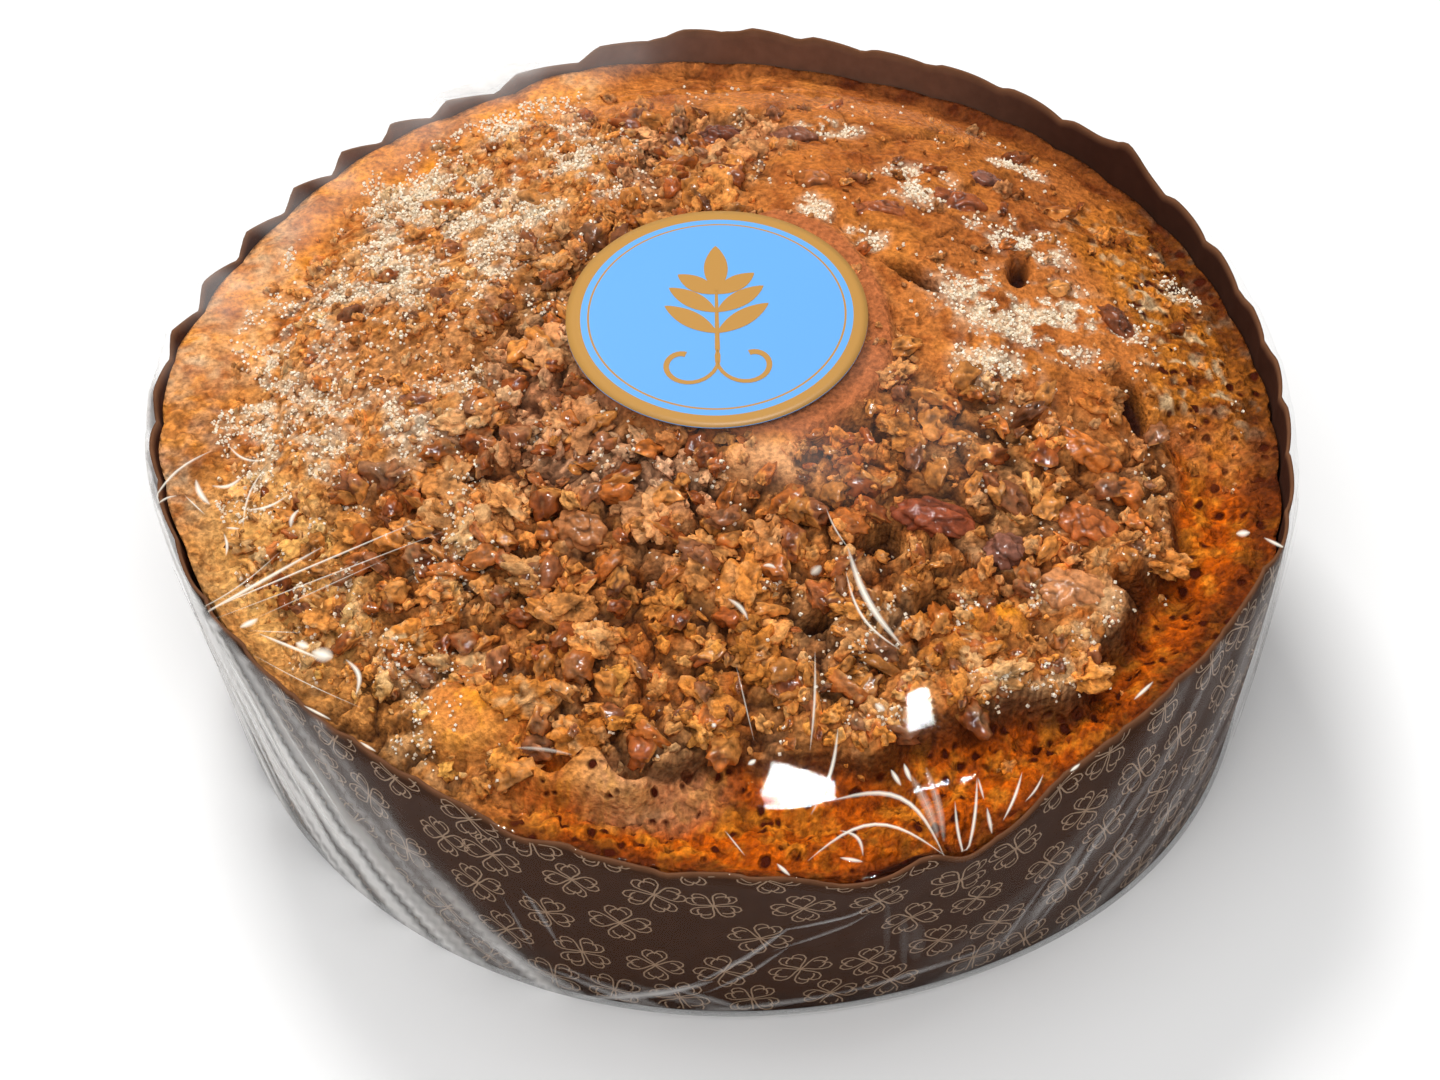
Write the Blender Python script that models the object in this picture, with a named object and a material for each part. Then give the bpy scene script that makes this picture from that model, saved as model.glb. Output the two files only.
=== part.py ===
"""A round walnut cake in a fluted paper case, wrapped in clear film with a round label on top.

The origin is under the middle of the outline, on the surface that the cake stands on. +Z is up
and -Y is the front. Lengths are in millimetres, scaled to metres where the meshes are made.
Points are worked out from the middle of the base circle, and one empty moves them all to the origin.
"""

import math
import random

import bmesh
import bpy
import numpy as np
from mathutils import Euler, Matrix, Vector, geometry

MM = 0.001
GAP = 0.3
SEED = 7

# Paper case: a flat floor and one flaring wall with flutes and a scalloped rim
CASE_BASE_RADIUS = 92.3
CASE_RIM_RADIUS = 97.3
CASE_RIM_HEIGHT = 51.4
CASE_PAPER = 0.6
FLUTES = 44
CASE_STEPS_PER_FLUTE = 4
CAKE_STEPS_PER_FLUTE = 2
FLUTE_DEPTH = 0.9
SCALLOP_HEIGHT = 1.3
WALL_BEND = 0.8

# Where the rim stands out from a true circle or in from it: angle, spread in degrees, amount
RIM_PULLS = (
    (90, 14, 4.2),
    (60, 12, 1.6),
    (16, 14, -1.0),
    (-19, 9, 1.7),
    (-43, 9, -1.0),
    (-80, 13, 4.6),
    (-130, 13, -1.2),
    (178, 24, 3.8),
)
# Where the rim is pressed down or drawn up into a point: angle, spread in degrees, amount
RIM_LIFTS = (
    (-81, 13, -4.3),
    (118, 8, -1.4),
    (40, 3, 2.4),
    (171, 3, 1.5),
    (-157, 3, 1.5),
)

# Clear film: taut over the crown, down the wall and under the floor, round a small air hole
FILM = 0.35
FILM_SEGMENTS = 64
FILM_BASE_RADIUS = 93.1
FILM_SHOULDER = 85.0
FILM_RIM_GAP = 0.6
AIR_HOLE_RADIUS = 5.0
# Loose fold of film that stands off the rim: angle, spread in degrees, amount
FILM_FOLD = (118, 9, 2.0)

# Crown of the cake under the film
CROWN_TOP = 69.5
CROWN_EDGE = 47.0
CROWN_RADIUS = 96.5
CROWN_POWER = 2.2
CROWN_PEAK_Y = 12.0
CROWN_CLEARANCE = 0.6
CAKE_EDGE_BELOW_RIM = 3.6
CAKE_SIDE_GAP = 0.6
TOP_GRID = 5.1
TOP_JITTER = 1.1
EDGE_MARGIN = 3.2

# Ledge at the front right, where a shelf of nut crust ends above bare sponge
LEDGE_RADIUS = 78.5
LEDGE_BULGE = 5.0
LEDGE_BULGE_ANGLE = -42.0
LEDGE_DROP = 6.0
LEDGE_START = -80.0
LEDGE_END = -24.0
SHELF_WIDTH = 13.0
SHELF_DEPTH = 0.8
RUBBLE_DEPTH = 4.2

# Smooth lumps of crust: x, y, half length, half width, turn in degrees
LUMPS = (
    (-43.5, -67.0, 13.0, 7.0, -18),
    (-30.0, -80.0, 12.0, 5.0, -8),
    (5.0, -25.0, 8.0, 6.0, 0),
    (44.0, -53.0, 8.0, 5.0, 20),
)
# Dark hollows between the pieces: x, y, half length, half width, turn in degrees
HOLLOWS = (
    (23.5, -38.5, 4.5, 3.5, 10),
    (70.0, -3.5, 7.5, 2.6, -75),
    (74.0, -17.0, 3.5, 2.6, 0),
    (33.0, 20.0, 6.5, 2.2, -35),
    (52.0, 25.0, 5.0, 2.2, 80),
)
HOLLOW_DEPTH = 4.0

# Walnut pieces as large as berries: x, y, length, width, height, turn in degrees
WALNUTS = (
    (34.3, -34.2, 16.5, 8.0, 6.4, -10),
    (57.6, -45.6, 15.5, 11.0, 7.4, 10),
    (61.0, -32.0, 13.0, 8.4, 5.8, -20),
    (62.3, -16.4, 15.0, 7.0, 5.8, -28),
    (46.2, -39.6, 8.8, 7.4, 5.6, 40),
    (28.5, 38.5, 12.0, 6.6, 5.2, 4),
    (43.0, 45.0, 14.0, 7.0, 5.6, -14),
    (48.5, 54.0, 10.0, 6.8, 5.2, 8),
    (70.0, 17.0, 10.0, 6.4, 5.2, -35),
    (-26.0, -36.0, 10.4, 8.0, 5.8, -30),
    (13.0, 64.5, 11.0, 7.0, 5.4, -10),
    (-1.0, 65.0, 10.0, 6.6, 5.2, 16),
)

WALNUT_LOBES = 0.3

# Chopped nuts and crumbs fused to the crust
CHUNK_COUNT = 108
CHUNK_TRIES = 9000
CHUNK_LENGTH = (6.6, 11.0)
CHUNK_WIDTH_SHARE = (0.62, 0.88)
CHUNK_HEIGHT = (5.0, 7.0)
CHUNK_SINK = (0.0, 1.2)
CHUNK_REACH = 86.0
CHUNK_LOBES = 0.3

# Label
LABEL_RADIUS = 26.3
LABEL_CENTRE = (-2.0, 6.5)
LABEL_THICKNESS = 0.25
LABEL_SEGMENTS = 48

# The rim is a little off centre over the base, and the origin is under the middle of the outline
BASE_CENTRE_X = 2.0

# Levels of the stacked floors
FILM_FLOOR = 0.0
CASE_FLOOR = FILM_FLOOR + FILM + GAP
CAKE_FLOOR = CASE_FLOOR + CASE_PAPER + GAP


def clear_scene():
    for thing in list(bpy.data.objects):
        bpy.data.objects.remove(thing, do_unlink=True)


def material(name, colour, roughness, metallic=0.0, alpha=1.0):
    made = bpy.data.materials.new(name)
    made.use_nodes = True
    made.diffuse_color = (*colour, alpha)
    shader = made.node_tree.nodes["Principled BSDF"]
    shader.inputs["Base Color"].default_value = (*colour, 1.0)
    shader.inputs["Roughness"].default_value = roughness
    shader.inputs["Metallic"].default_value = metallic
    shader.inputs["Alpha"].default_value = alpha
    return made


def smoothstep(low, high, value):
    """0 below low, 1 above high, and a smooth rise between them."""
    share = np.clip((value - low) / (high - low), 0.0, 1.0)
    return share * share * (3.0 - 2.0 * share)


def swell(angle, centre, spread):
    """A smooth hump over the angle, in degrees: 1 at its centre and near 0 past twice its spread."""
    away = (angle - centre + 180.0) % 360.0 - 180.0
    return np.exp(-((away / spread) ** 2))


def window(angle, start, end, soft=8.0):
    """1 for angles between start and end, in degrees, with soft ends."""
    middle = (start + end) / 2.0
    away = np.abs((angle - middle + 180.0) % 360.0 - 180.0)
    half = (end - start) / 2.0
    return 1.0 - smoothstep(half - soft, half + soft, away)


def noise(x, y, cell, seed):
    """Smooth relief from -1 to 1 whose bumps are about one cell across."""
    u = x / cell
    v = y / cell
    column = np.floor(u)
    row = np.floor(v)
    across = smoothstep(0.0, 1.0, u - column)
    along = smoothstep(0.0, 1.0, v - row)

    def corner(right, up):
        mix = (column + right).astype(np.int64) * 374761393
        mix = (mix + (row + up).astype(np.int64) * 668265263 + seed * 1442695041) & 0x7FFFFFFF
        mix = ((mix ^ (mix >> 13)) * 1274126177) & 0x7FFFFFFF
        mix = (mix ^ (mix >> 16)) & 0xFFFF
        return mix / 32767.5 - 1.0

    near = corner(0, 0) * (1 - across) + corner(1, 0) * across
    far = corner(0, 1) * (1 - across) + corner(1, 1) * across
    return near * (1 - along) + far * along


def patch(x, y, spot):
    """1 in the middle of an oval spot, falling to 0 at its edge."""
    centre_x, centre_y, half_length, half_width, turn = spot
    cos_turn = math.cos(math.radians(turn))
    sin_turn = math.sin(math.radians(turn))
    along = ((x - centre_x) * cos_turn + (y - centre_y) * sin_turn) / half_length
    across = ((y - centre_y) * cos_turn - (x - centre_x) * sin_turn) / half_width
    return 1.0 - smoothstep(0.45, 1.1, np.hypot(along, across))


def polar(x, y):
    return np.hypot(x, y), np.degrees(np.arctan2(y, x))


def rim_pull(angle):
    return sum(amount * swell(angle, centre, spread) for centre, spread, amount in RIM_PULLS)


def rim_lift(angle):
    return sum(amount * swell(angle, centre, spread) for centre, spread, amount in RIM_LIFTS)


def flute(angle):
    """0 in the valleys of the flutes and 1 on their backs, with some backs lower than others."""
    turn = angle / 360.0 * FLUTES
    share = np.abs(np.sin(np.pi * turn))
    unevenness = 0.78 + 0.22 * np.sin(np.radians(angle * 5.0 + 40.0)) * np.cos(np.radians(angle * 11.0))
    return share**0.8 * unevenness


def case_radius(angle, share):
    """Outer radius of the paper at a share of the wall's height, 0 at the floor and 1 at the rim."""
    flare = (CASE_RIM_RADIUS - CASE_BASE_RADIUS) * share
    return CASE_BASE_RADIUS + flare + rim_pull(angle) * share**2 + FLUTE_DEPTH * share * flute(angle)


def case_rim_height(angle):
    return CASE_FLOOR + CASE_RIM_HEIGHT + SCALLOP_HEIGHT * flute(angle) + rim_lift(angle)


def case_bend_height(angle):
    return CASE_FLOOR + CASE_RIM_HEIGHT * WALL_BEND + rim_lift(angle) * WALL_BEND**2


def film_rim_radius(angle):
    centre, spread, amount = FILM_FOLD
    fold = amount * swell(angle, centre, spread)
    return CASE_RIM_RADIUS + FLUTE_DEPTH + rim_pull(angle) + fold + FILM_RIM_GAP + FILM


def film_rim_height(angle):
    return CASE_FLOOR + CASE_RIM_HEIGHT + SCALLOP_HEIGHT + rim_lift(angle) + FILM_RIM_GAP + FILM


def crown_height(x, y):
    """Height of the dome that the cake has pushed up, a little higher at the back."""
    radius = np.hypot(x, y)
    shift = CROWN_PEAK_Y * (1.0 - (radius / CROWN_RADIUS) ** 2)
    spread = np.hypot(x, y - shift) / CROWN_RADIUS
    return CROWN_EDGE + (CROWN_TOP - CROWN_EDGE) * (1.0 - spread**CROWN_POWER)


def film_height(x, y):
    """Top face of the film: the crown, then a taut run from its shoulder to the rim."""
    radius, angle = polar(x, y)
    inner = np.minimum(radius, FILM_SHOULDER) / np.maximum(radius, 0.001)
    shoulder = crown_height(x * inner, y * inner)
    reach = film_rim_radius(angle) - FILM_SHOULDER
    share = np.clip((radius - FILM_SHOULDER) / reach, 0.0, 1.0)
    return shoulder + (film_rim_height(angle) - shoulder) * share


def ledge_radius(angle):
    """Where the nut crust breaks off, as a ragged line round the front right."""
    ragged = 1.6 * np.sin(np.radians(angle * 13.0)) + 1.1 * np.sin(np.radians(angle * 29.0 + 70.0))
    return LEDGE_RADIUS + LEDGE_BULGE * swell(angle, LEDGE_BULGE_ANGLE, 20.0) + ragged


def zones(x, y):
    """Shares of the top that are mound, bare sponge, smooth crust, sugar crust and loose rubble."""
    radius, angle = polar(x, y)
    ragged = 2.2 * noise(x, y, 11.0, 21)
    from_label = np.hypot(x - LABEL_CENTRE[0], y - LABEL_CENTRE[1]) + ragged
    mound = 1.0 - smoothstep(LABEL_RADIUS + 1.0, LABEL_RADIUS + 6.0, from_label)
    ledge = ledge_radius(angle)
    sponge = smoothstep(ledge - 0.9, ledge + 0.9, radius) * window(angle, -118.0, -6.0)
    back = window(angle, -8.0, 84.0) * smoothstep(28.0, 34.0, radius + ragged)
    back_rim = window(angle, -4.0, 128.0) * smoothstep(72.0, 78.0, radius + ragged)
    crust = np.maximum(back, back_rim)
    sugar = window(angle, 108.0, 196.0) * smoothstep(38.0, 50.0, radius + ragged)
    crust = crust * (1 - mound) * (1 - sponge)
    sugar = sugar * (1 - mound) * (1 - sponge) * (1 - crust)
    rubble = 1.0 - mound - sponge - crust - sugar
    return mound, sponge, crust, sugar, rubble


def cake_depth(x, y):
    """How far the cake's top lies under the crown."""
    radius, angle = polar(x, y)
    mound, sponge, crust, sugar, rubble = zones(x, y)
    depth = mound * (0.5 + 0.4 * noise(x, y, 12.0, 1))
    depth = depth + sponge * LEDGE_DROP * (1.0 - smoothstep(85.0, 95.0, radius))
    depth = depth + crust * (1.1 + 0.9 * noise(x, y, 15.0, 2))
    depth = depth + sugar * (1.3 + 0.9 * noise(x, y, 9.0, 3))
    loose = RUBBLE_DEPTH + 1.9 * noise(x, y, 8.5, 4) + 1.2 * noise(x, y, 5.0, 5)
    ledge = ledge_radius(angle)
    shelf = smoothstep(ledge - SHELF_WIDTH, ledge - SHELF_WIDTH * 0.4, radius)
    shelf = shelf * window(angle, LEDGE_START, LEDGE_END)
    loose = loose + (SHELF_DEPTH + 0.7 * noise(x, y, 6.0, 6) - loose) * shelf
    depth = depth + rubble * loose
    for lump in LUMPS:
        depth = depth + (0.6 - depth) * patch(x, y, lump)
    for hollow in HOLLOWS:
        depth = depth + HOLLOW_DEPTH * patch(x, y, hollow)
    return CROWN_CLEARANCE + FILM + np.maximum(depth, 0.0)


def cake_height(x, y):
    return crown_height(x, y) - cake_depth(x, y)


def cake_edge_height(angle):
    """Height of the cake where it meets the paper, always under the paper's rim."""
    under_rim = CASE_FLOOR + CASE_RIM_HEIGHT + rim_lift(angle) - CAKE_EDGE_BELOW_RIM
    at_crown = CROWN_EDGE - 0.6
    nearly_flush = 2.6 * window(angle, -130.0, -50.0, 20.0)
    return np.minimum(under_rim + nearly_flush, at_crown)


def ring(angles, radii, heights):
    """Points round the axis, one for each angle in degrees."""
    turn = np.radians(angles)
    return np.column_stack((radii * np.cos(turn), radii * np.sin(turn), np.broadcast_to(heights, turn.shape)))


def mesh_object(name, points, faces, finish):
    mesh = bpy.data.meshes.new(name)
    mesh.from_pydata([tuple(point * MM) for point in points], [], faces)
    mesh.validate()
    made = bpy.data.objects.new(name, mesh)
    made.data.materials.append(finish)
    bpy.context.collection.objects.link(made)
    return made


def skin_rings(name, rings, finish, sharp_degrees=40.0):
    """A closed body through the rings in turn, with the first and last ring filled flat."""
    count = len(rings[0])
    faces = []
    for level in range(len(rings) - 1):
        for step in range(count):
            following = (step + 1) % count
            low = level * count
            high = low + count
            faces.append((low + step, low + following, high + following, high + step))
    faces.append(tuple(range(count - 1, -1, -1)))
    last = (len(rings) - 1) * count
    faces.append(tuple(range(last, last + count)))
    made = mesh_object(name, np.vstack(rings), faces, finish)
    made.data.shade_smooth()
    made.data.set_sharp_from_angle(angle=math.radians(sharp_degrees))
    return made


def flute_angles(steps_per_flute):
    count = FLUTES * steps_per_flute
    return np.arange(count) * 360.0 / count


def case_ring(share, inset):
    """One ring of the case's wall, inset from its outer face."""
    angles = flute_angles(CASE_STEPS_PER_FLUTE)
    if share == 0.0:
        heights = CASE_FLOOR + inset
    elif share == 1.0:
        heights = case_rim_height(angles)
    else:
        heights = case_bend_height(angles)
    return ring(angles, case_radius(angles, share) - inset, heights)


def build_case():
    finish = material("brown paper", (0.066, 0.042, 0.036), 0.62)
    shares = (0.0, WALL_BEND, 1.0)
    outside = [case_ring(share, 0.0) for share in shares]
    inside = [case_ring(share, CASE_PAPER) for share in reversed(shares)]
    return skin_rings("paper_case", outside + inside, finish)


def film_path():
    """Rings of the film's outer face, from the air hole under the floor to the top of the crown."""
    angles = np.arange(FILM_SEGMENTS) * 360.0 / FILM_SEGMENTS
    rim_radius = film_rim_radius(angles)
    rim_height = film_rim_height(angles)
    rings = [
        ring(angles, np.full(FILM_SEGMENTS, AIR_HOLE_RADIUS), FILM_FLOOR),
        ring(angles, np.full(FILM_SEGMENTS, FILM_BASE_RADIUS), FILM_FLOOR),
        ring(angles, rim_radius, rim_height - 1.0),
        ring(angles, rim_radius - 1.2, rim_height),
    ]
    for radius in (FILM_SHOULDER, 68.0, 48.0, 27.0, 9.0):
        level = ring(angles, np.full(FILM_SEGMENTS, radius), 0.0)
        level[:, 2] = film_height(level[:, 0], level[:, 1])
        rings.append(level)
    return angles, rings


def film_inside(angles, outer, index):
    """The film's inner face opposite one of its outer rings."""
    inner = outer.copy()
    turn = np.radians(angles)
    outward = np.column_stack((np.cos(turn), np.sin(turn)))
    if index == 0:
        inner[:, 2] += FILM
    elif index == 1:
        inner[:, :2] -= outward * FILM
        inner[:, 2] += FILM
    elif index == 2:
        inner[:, :2] -= outward * FILM
    else:
        inner[:, 2] -= FILM
    return inner


def build_film():
    finish = material("clear film", (0.95, 0.96, 0.97), 0.05, alpha=0.12)
    angles, outside = film_path()
    inside = [film_inside(angles, outer, index) for index, outer in enumerate(outside)]
    return skin_rings("film", list(reversed(inside)) + outside, finish)


def lie_on_crown(x, y, sink, turn, tilt=(0.0, 0.0)):
    """Placement on the crown's slope at x, y, sunk below its surface and turned about its normal."""
    step = 0.5
    slope_x = (crown_height(x + step, y) - crown_height(x - step, y)) / (2 * step)
    slope_y = (crown_height(x, y + step) - crown_height(x, y - step)) / (2 * step)
    normal = Vector((-slope_x, -slope_y, 1.0)).normalized()
    centre = Vector((x, y, float(crown_height(x, y)))) - normal * sink
    lean = Vector((0.0, 0.0, 1.0)).rotation_difference(normal).to_matrix().to_4x4()
    spin = Euler((tilt[0], tilt[1], 0.0)).to_matrix().to_4x4() @ Matrix.Rotation(turn, 4, "Z")
    return Matrix.Translation(centre * MM) @ lean @ spin


def nut_mesh(name, length, width, height, seed, subdivisions, lobes):
    """A lobed, rounded lump of the given size, about its own centre."""
    draw = random.Random(seed)
    shift = Vector((draw.uniform(0, 9), draw.uniform(0, 9), draw.uniform(0, 9)))
    shape = bmesh.new()
    bmesh.ops.create_icosphere(shape, subdivisions=subdivisions, radius=1.0)
    half = Vector((length, width, height)) * 0.5
    for vertex in shape.verts:
        where = vertex.co.normalized()
        phase = where * 3.9 + shift
        wave = math.sin(phase.x * 1.7) * math.cos(phase.y * 2.1) + math.sin(phase.z * 1.9 + phase.x)
        grow = 1.0 - lobes * (0.5 - 0.25 * wave)
        vertex.co = Vector((where.x * half.x, where.y * half.y, where.z * half.z)) * grow * MM
    mesh = bpy.data.meshes.new(name)
    shape.to_mesh(mesh)
    shape.free()
    return mesh


def walnut_placement(walnut):
    x, y, length, width, height, turn = walnut
    sink = height * 0.5 + CROWN_CLEARANCE + FILM
    return lie_on_crown(x, y, sink, math.radians(turn))


def build_walnuts():
    finish = material("walnut skin", (0.26, 0.082, 0.028), 0.38)
    made = []
    for index, walnut in enumerate(WALNUTS, start=1):
        name = f"walnut_{index:02d}"
        mesh = nut_mesh(name, *walnut[2:5], SEED + index, 2, WALNUT_LOBES)
        nut = bpy.data.objects.new(name, mesh)
        nut.matrix_world = walnut_placement(walnut)
        nut.data.materials.append(finish)
        nut.data.shade_smooth()
        bpy.context.collection.objects.link(nut)
        made.append(nut)
    return made


def make_collection(name):
    made = bpy.data.collections.new(name)
    bpy.context.scene.collection.children.link(made)
    return made


def add_sockets(sockets):
    """A hollow for each walnut, larger than it by the gap all round."""
    for index, walnut in enumerate(WALNUTS, start=1):
        spare = 2.0 * GAP * 1.6
        size = [side + spare for side in walnut[2:5]]
        mesh = nut_mesh(f"socket_{index:02d}", *size, SEED + index, 2, WALNUT_LOBES)
        cutter = bpy.data.objects.new(f"socket_{index:02d}", mesh)
        cutter.matrix_world = walnut_placement(walnut)
        cutter.hide_render = True
        cutter.display_type = "WIRE"
        sockets.objects.link(cutter)


def clear_of_walnuts(x, y, reach):
    for walnut in WALNUTS:
        if math.hypot(x - walnut[0], y - walnut[1]) < reach + walnut[2] * 0.42:
            return False
    return True


def chunk_places():
    """Places for the chopped nuts and crumbs, spread over the rubble without crowding."""
    draw = random.Random(SEED)
    places = []
    for _ in range(CHUNK_TRIES):
        if len(places) == CHUNK_COUNT:
            break
        radius = CHUNK_REACH * math.sqrt(draw.random())
        angle = draw.uniform(0.0, 2.0 * math.pi)
        x = radius * math.cos(angle)
        y = radius * math.sin(angle)
        length = draw.uniform(*CHUNK_LENGTH)
        mound, sponge, crust, sugar, rubble = zones(np.array(x), np.array(y))
        likely = float(rubble + 0.22 * sugar + 0.12 * crust)
        smooth = max(float(patch(np.array(x), np.array(y), lump)) for lump in LUMPS)
        if draw.random() > likely * (1.0 - smooth):
            continue
        if not clear_of_walnuts(x, y, length * 0.5):
            continue
        if any(math.hypot(x - p[0], y - p[1]) < 0.44 * (length + p[2]) for p in places):
            continue
        places.append((x, y, length))
    return places


def add_chunks(chunks):
    draw = random.Random(SEED + 1)
    for index, (x, y, length) in enumerate(chunk_places()):
        width = length * draw.uniform(*CHUNK_WIDTH_SHARE)
        height = draw.uniform(*CHUNK_HEIGHT)
        mesh = nut_mesh(f"chunk_{index:03d}", length, width, height, 100 + index, 1, CHUNK_LOBES)
        chunk = bpy.data.objects.new(f"chunk_{index:03d}", mesh)
        sink = CROWN_CLEARANCE + FILM + height * 0.46 + draw.uniform(*CHUNK_SINK)
        tilt = (draw.uniform(-0.2, 0.2), draw.uniform(-0.2, 0.2))
        chunk.matrix_world = lie_on_crown(x, y, sink, draw.uniform(0.0, math.pi), tilt)
        chunks.objects.link(chunk)


def ledge_points():
    """Pairs of points along the top and the foot of the ledge, so that its step stays crisp."""
    points = []
    for angle in np.arange(LEDGE_START, LEDGE_END, 2.6):
        for offset in (-0.9, 1.1):
            radius = float(ledge_radius(angle)) + offset
            points.append((radius * math.cos(math.radians(angle)), radius * math.sin(math.radians(angle))))
    return points


def top_points(edge):
    """The ledge's points and a jittered triangular grid that fills the rest of the cake's top."""
    draw = random.Random(SEED + 2)
    row_pitch = TOP_GRID * math.sqrt(3.0) / 2.0
    rows = int(110.0 / row_pitch)
    columns = int(110.0 / TOP_GRID)
    edge_angles = flute_angles(CAKE_STEPS_PER_FLUTE)
    edge_radius = np.hypot(edge[:, 0], edge[:, 1])
    points = ledge_points()
    fixed = np.array(points)
    for row in range(-rows, rows + 1):
        for column in range(-columns, columns + 1):
            x = (column + 0.5 * (row % 2)) * TOP_GRID + draw.uniform(-TOP_JITTER, TOP_JITTER)
            y = row * row_pitch + draw.uniform(-TOP_JITTER, TOP_JITTER)
            angle = math.degrees(math.atan2(y, x)) % 360.0
            limit = np.interp(angle, edge_angles, edge_radius, period=360.0) - EDGE_MARGIN
            nearest = np.hypot(fixed[:, 0] - x, fixed[:, 1] - y).min()
            if math.hypot(x, y) < limit and nearest > TOP_GRID * 0.5:
                points.append((x, y))
    return np.array(points)


def cake_wall_ring(heights):
    """A ring of the cake's side at the given heights, one gap inside the paper."""
    angles = flute_angles(CAKE_STEPS_PER_FLUTE)
    base_radius = case_radius(angles, 0.0)
    bend_radius = case_radius(angles, WALL_BEND)
    rim_radius = case_radius(angles, 1.0)
    bend_height = case_bend_height(angles)
    rim_height = case_rim_height(angles)
    below = (heights - CASE_FLOOR) / (bend_height - CASE_FLOOR)
    above = (heights - bend_height) / (rim_height - bend_height)
    low = base_radius + (bend_radius - base_radius) * below
    high = bend_radius + (rim_radius - bend_radius) * above
    radius = np.where(below < 1.0, low, high)
    return ring(angles, radius - CASE_PAPER - CAKE_SIDE_GAP, heights)


def build_cake_body(finish):
    """The baked cake: a fluted side in the paper and a top in the shape of the crust."""
    angles = flute_angles(CAKE_STEPS_PER_FLUTE)
    foot = cake_wall_ring(np.full(len(angles), CAKE_FLOOR))
    bend = cake_wall_ring(case_bend_height(angles))
    edge = cake_wall_ring(cake_edge_height(angles))
    inner = top_points(edge)
    inner_z = cake_height(inner[:, 0], inner[:, 1])
    count = len(angles)
    flat = [Vector((x, y)) for x, y in np.vstack((edge[:, :2], inner))]
    border = [(step, (step + 1) % count) for step in range(count)]
    result = geometry.delaunay_2d_cdt(flat, border, [list(range(count))], 1, 1e-5)
    top = [tuple(face) for face in result[2]]
    points = np.vstack((edge, np.column_stack((inner, inner_z)), bend, foot))
    bend_start = count + len(inner)
    foot_start = bend_start + count
    faces = list(top)
    for step in range(count):
        following = (step + 1) % count
        faces.append((bend_start + step, bend_start + following, following, step))
        faces.append((foot_start + step, foot_start + following, bend_start + following, bend_start + step))
    faces.append(tuple(range(foot_start + count - 1, foot_start - 1, -1)))
    return mesh_object("cake", points, faces, finish)


def apply_boolean(target, operands, operation):
    """Joins or cuts the target with every object of a collection, then removes them."""
    step = target.modifiers.new(operation.lower(), "BOOLEAN")
    step.operation = operation
    step.operand_type = "COLLECTION"
    step.collection = operands
    step.solver = "EXACT"
    graph = bpy.context.evaluated_depsgraph_get()
    result = bpy.data.meshes.new_from_object(target.evaluated_get(graph))
    target.modifiers.remove(step)
    target.data = result
    for thing in list(operands.objects):
        bpy.data.objects.remove(thing, do_unlink=True)
    bpy.data.collections.remove(operands)


def build_cake():
    finish = material("baked crust", (0.42, 0.17, 0.045), 0.7)
    cake = build_cake_body(finish)
    chunks = make_collection("chunks")
    add_chunks(chunks)
    apply_boolean(cake, chunks, "UNION")
    sockets = make_collection("sockets")
    add_sockets(sockets)
    apply_boolean(cake, sockets, "DIFFERENCE")
    cake.data.shade_smooth()
    cake.data.set_sharp_from_angle(angle=math.radians(35.0))
    return cake


def build_label():
    """A thin round label that follows the film."""
    finish = material("blue and gold label", (0.18, 0.51, 0.98), 0.35)
    angles = np.arange(LABEL_SEGMENTS) * 360.0 / LABEL_SEGMENTS
    centre = np.array(LABEL_CENTRE)
    levels = []
    for radius in (12.0, LABEL_RADIUS):
        level = ring(angles, np.full(LABEL_SEGMENTS, radius), 0.0)
        level[:, :2] += centre
        level[:, 2] = film_height(level[:, 0], level[:, 1]) + GAP
        levels.append(level)
    lift = np.array((0.0, 0.0, LABEL_THICKNESS))
    rings = levels + [level + lift for level in reversed(levels)]
    return skin_rings("label", rings, finish)


def main():
    clear_scene()
    carrier = bpy.data.objects.new("base_centre", None)
    carrier.location.x = BASE_CENTRE_X * MM
    bpy.context.collection.objects.link(carrier)
    pieces = [build_case(), build_cake(), build_film(), build_label(), *build_walnuts()]
    for piece in pieces:
        piece.parent = carrier


main()
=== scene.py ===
"""A walnut cake in a printed paper case under clear film, as one studio photo shows it.

Lengths are in millimetres from the middle of the base circle, with +Z up and -Y at the front.
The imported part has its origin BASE_CENTRE_X to the left of that, so meshes are moved as they are made.
"""

import math
import random
from collections import namedtuple

import bmesh
import bpy
import numpy as np
from mathutils import Matrix, Vector, noise as space_noise


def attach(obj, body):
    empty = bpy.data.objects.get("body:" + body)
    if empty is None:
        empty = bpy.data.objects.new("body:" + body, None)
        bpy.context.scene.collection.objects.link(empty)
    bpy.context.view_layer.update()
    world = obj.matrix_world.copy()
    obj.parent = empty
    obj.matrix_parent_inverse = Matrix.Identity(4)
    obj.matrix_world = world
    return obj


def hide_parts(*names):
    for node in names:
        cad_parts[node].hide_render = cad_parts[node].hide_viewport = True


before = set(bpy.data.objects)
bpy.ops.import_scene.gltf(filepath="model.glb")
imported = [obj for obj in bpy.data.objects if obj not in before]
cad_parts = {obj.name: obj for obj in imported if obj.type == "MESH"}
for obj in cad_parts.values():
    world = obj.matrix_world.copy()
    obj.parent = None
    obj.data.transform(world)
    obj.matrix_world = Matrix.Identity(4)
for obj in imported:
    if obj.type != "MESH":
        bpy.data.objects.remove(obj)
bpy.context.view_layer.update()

MM = 0.001
SEED = 7
BASE_CENTRE_X = 2.0
GAP = 0.3

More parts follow.
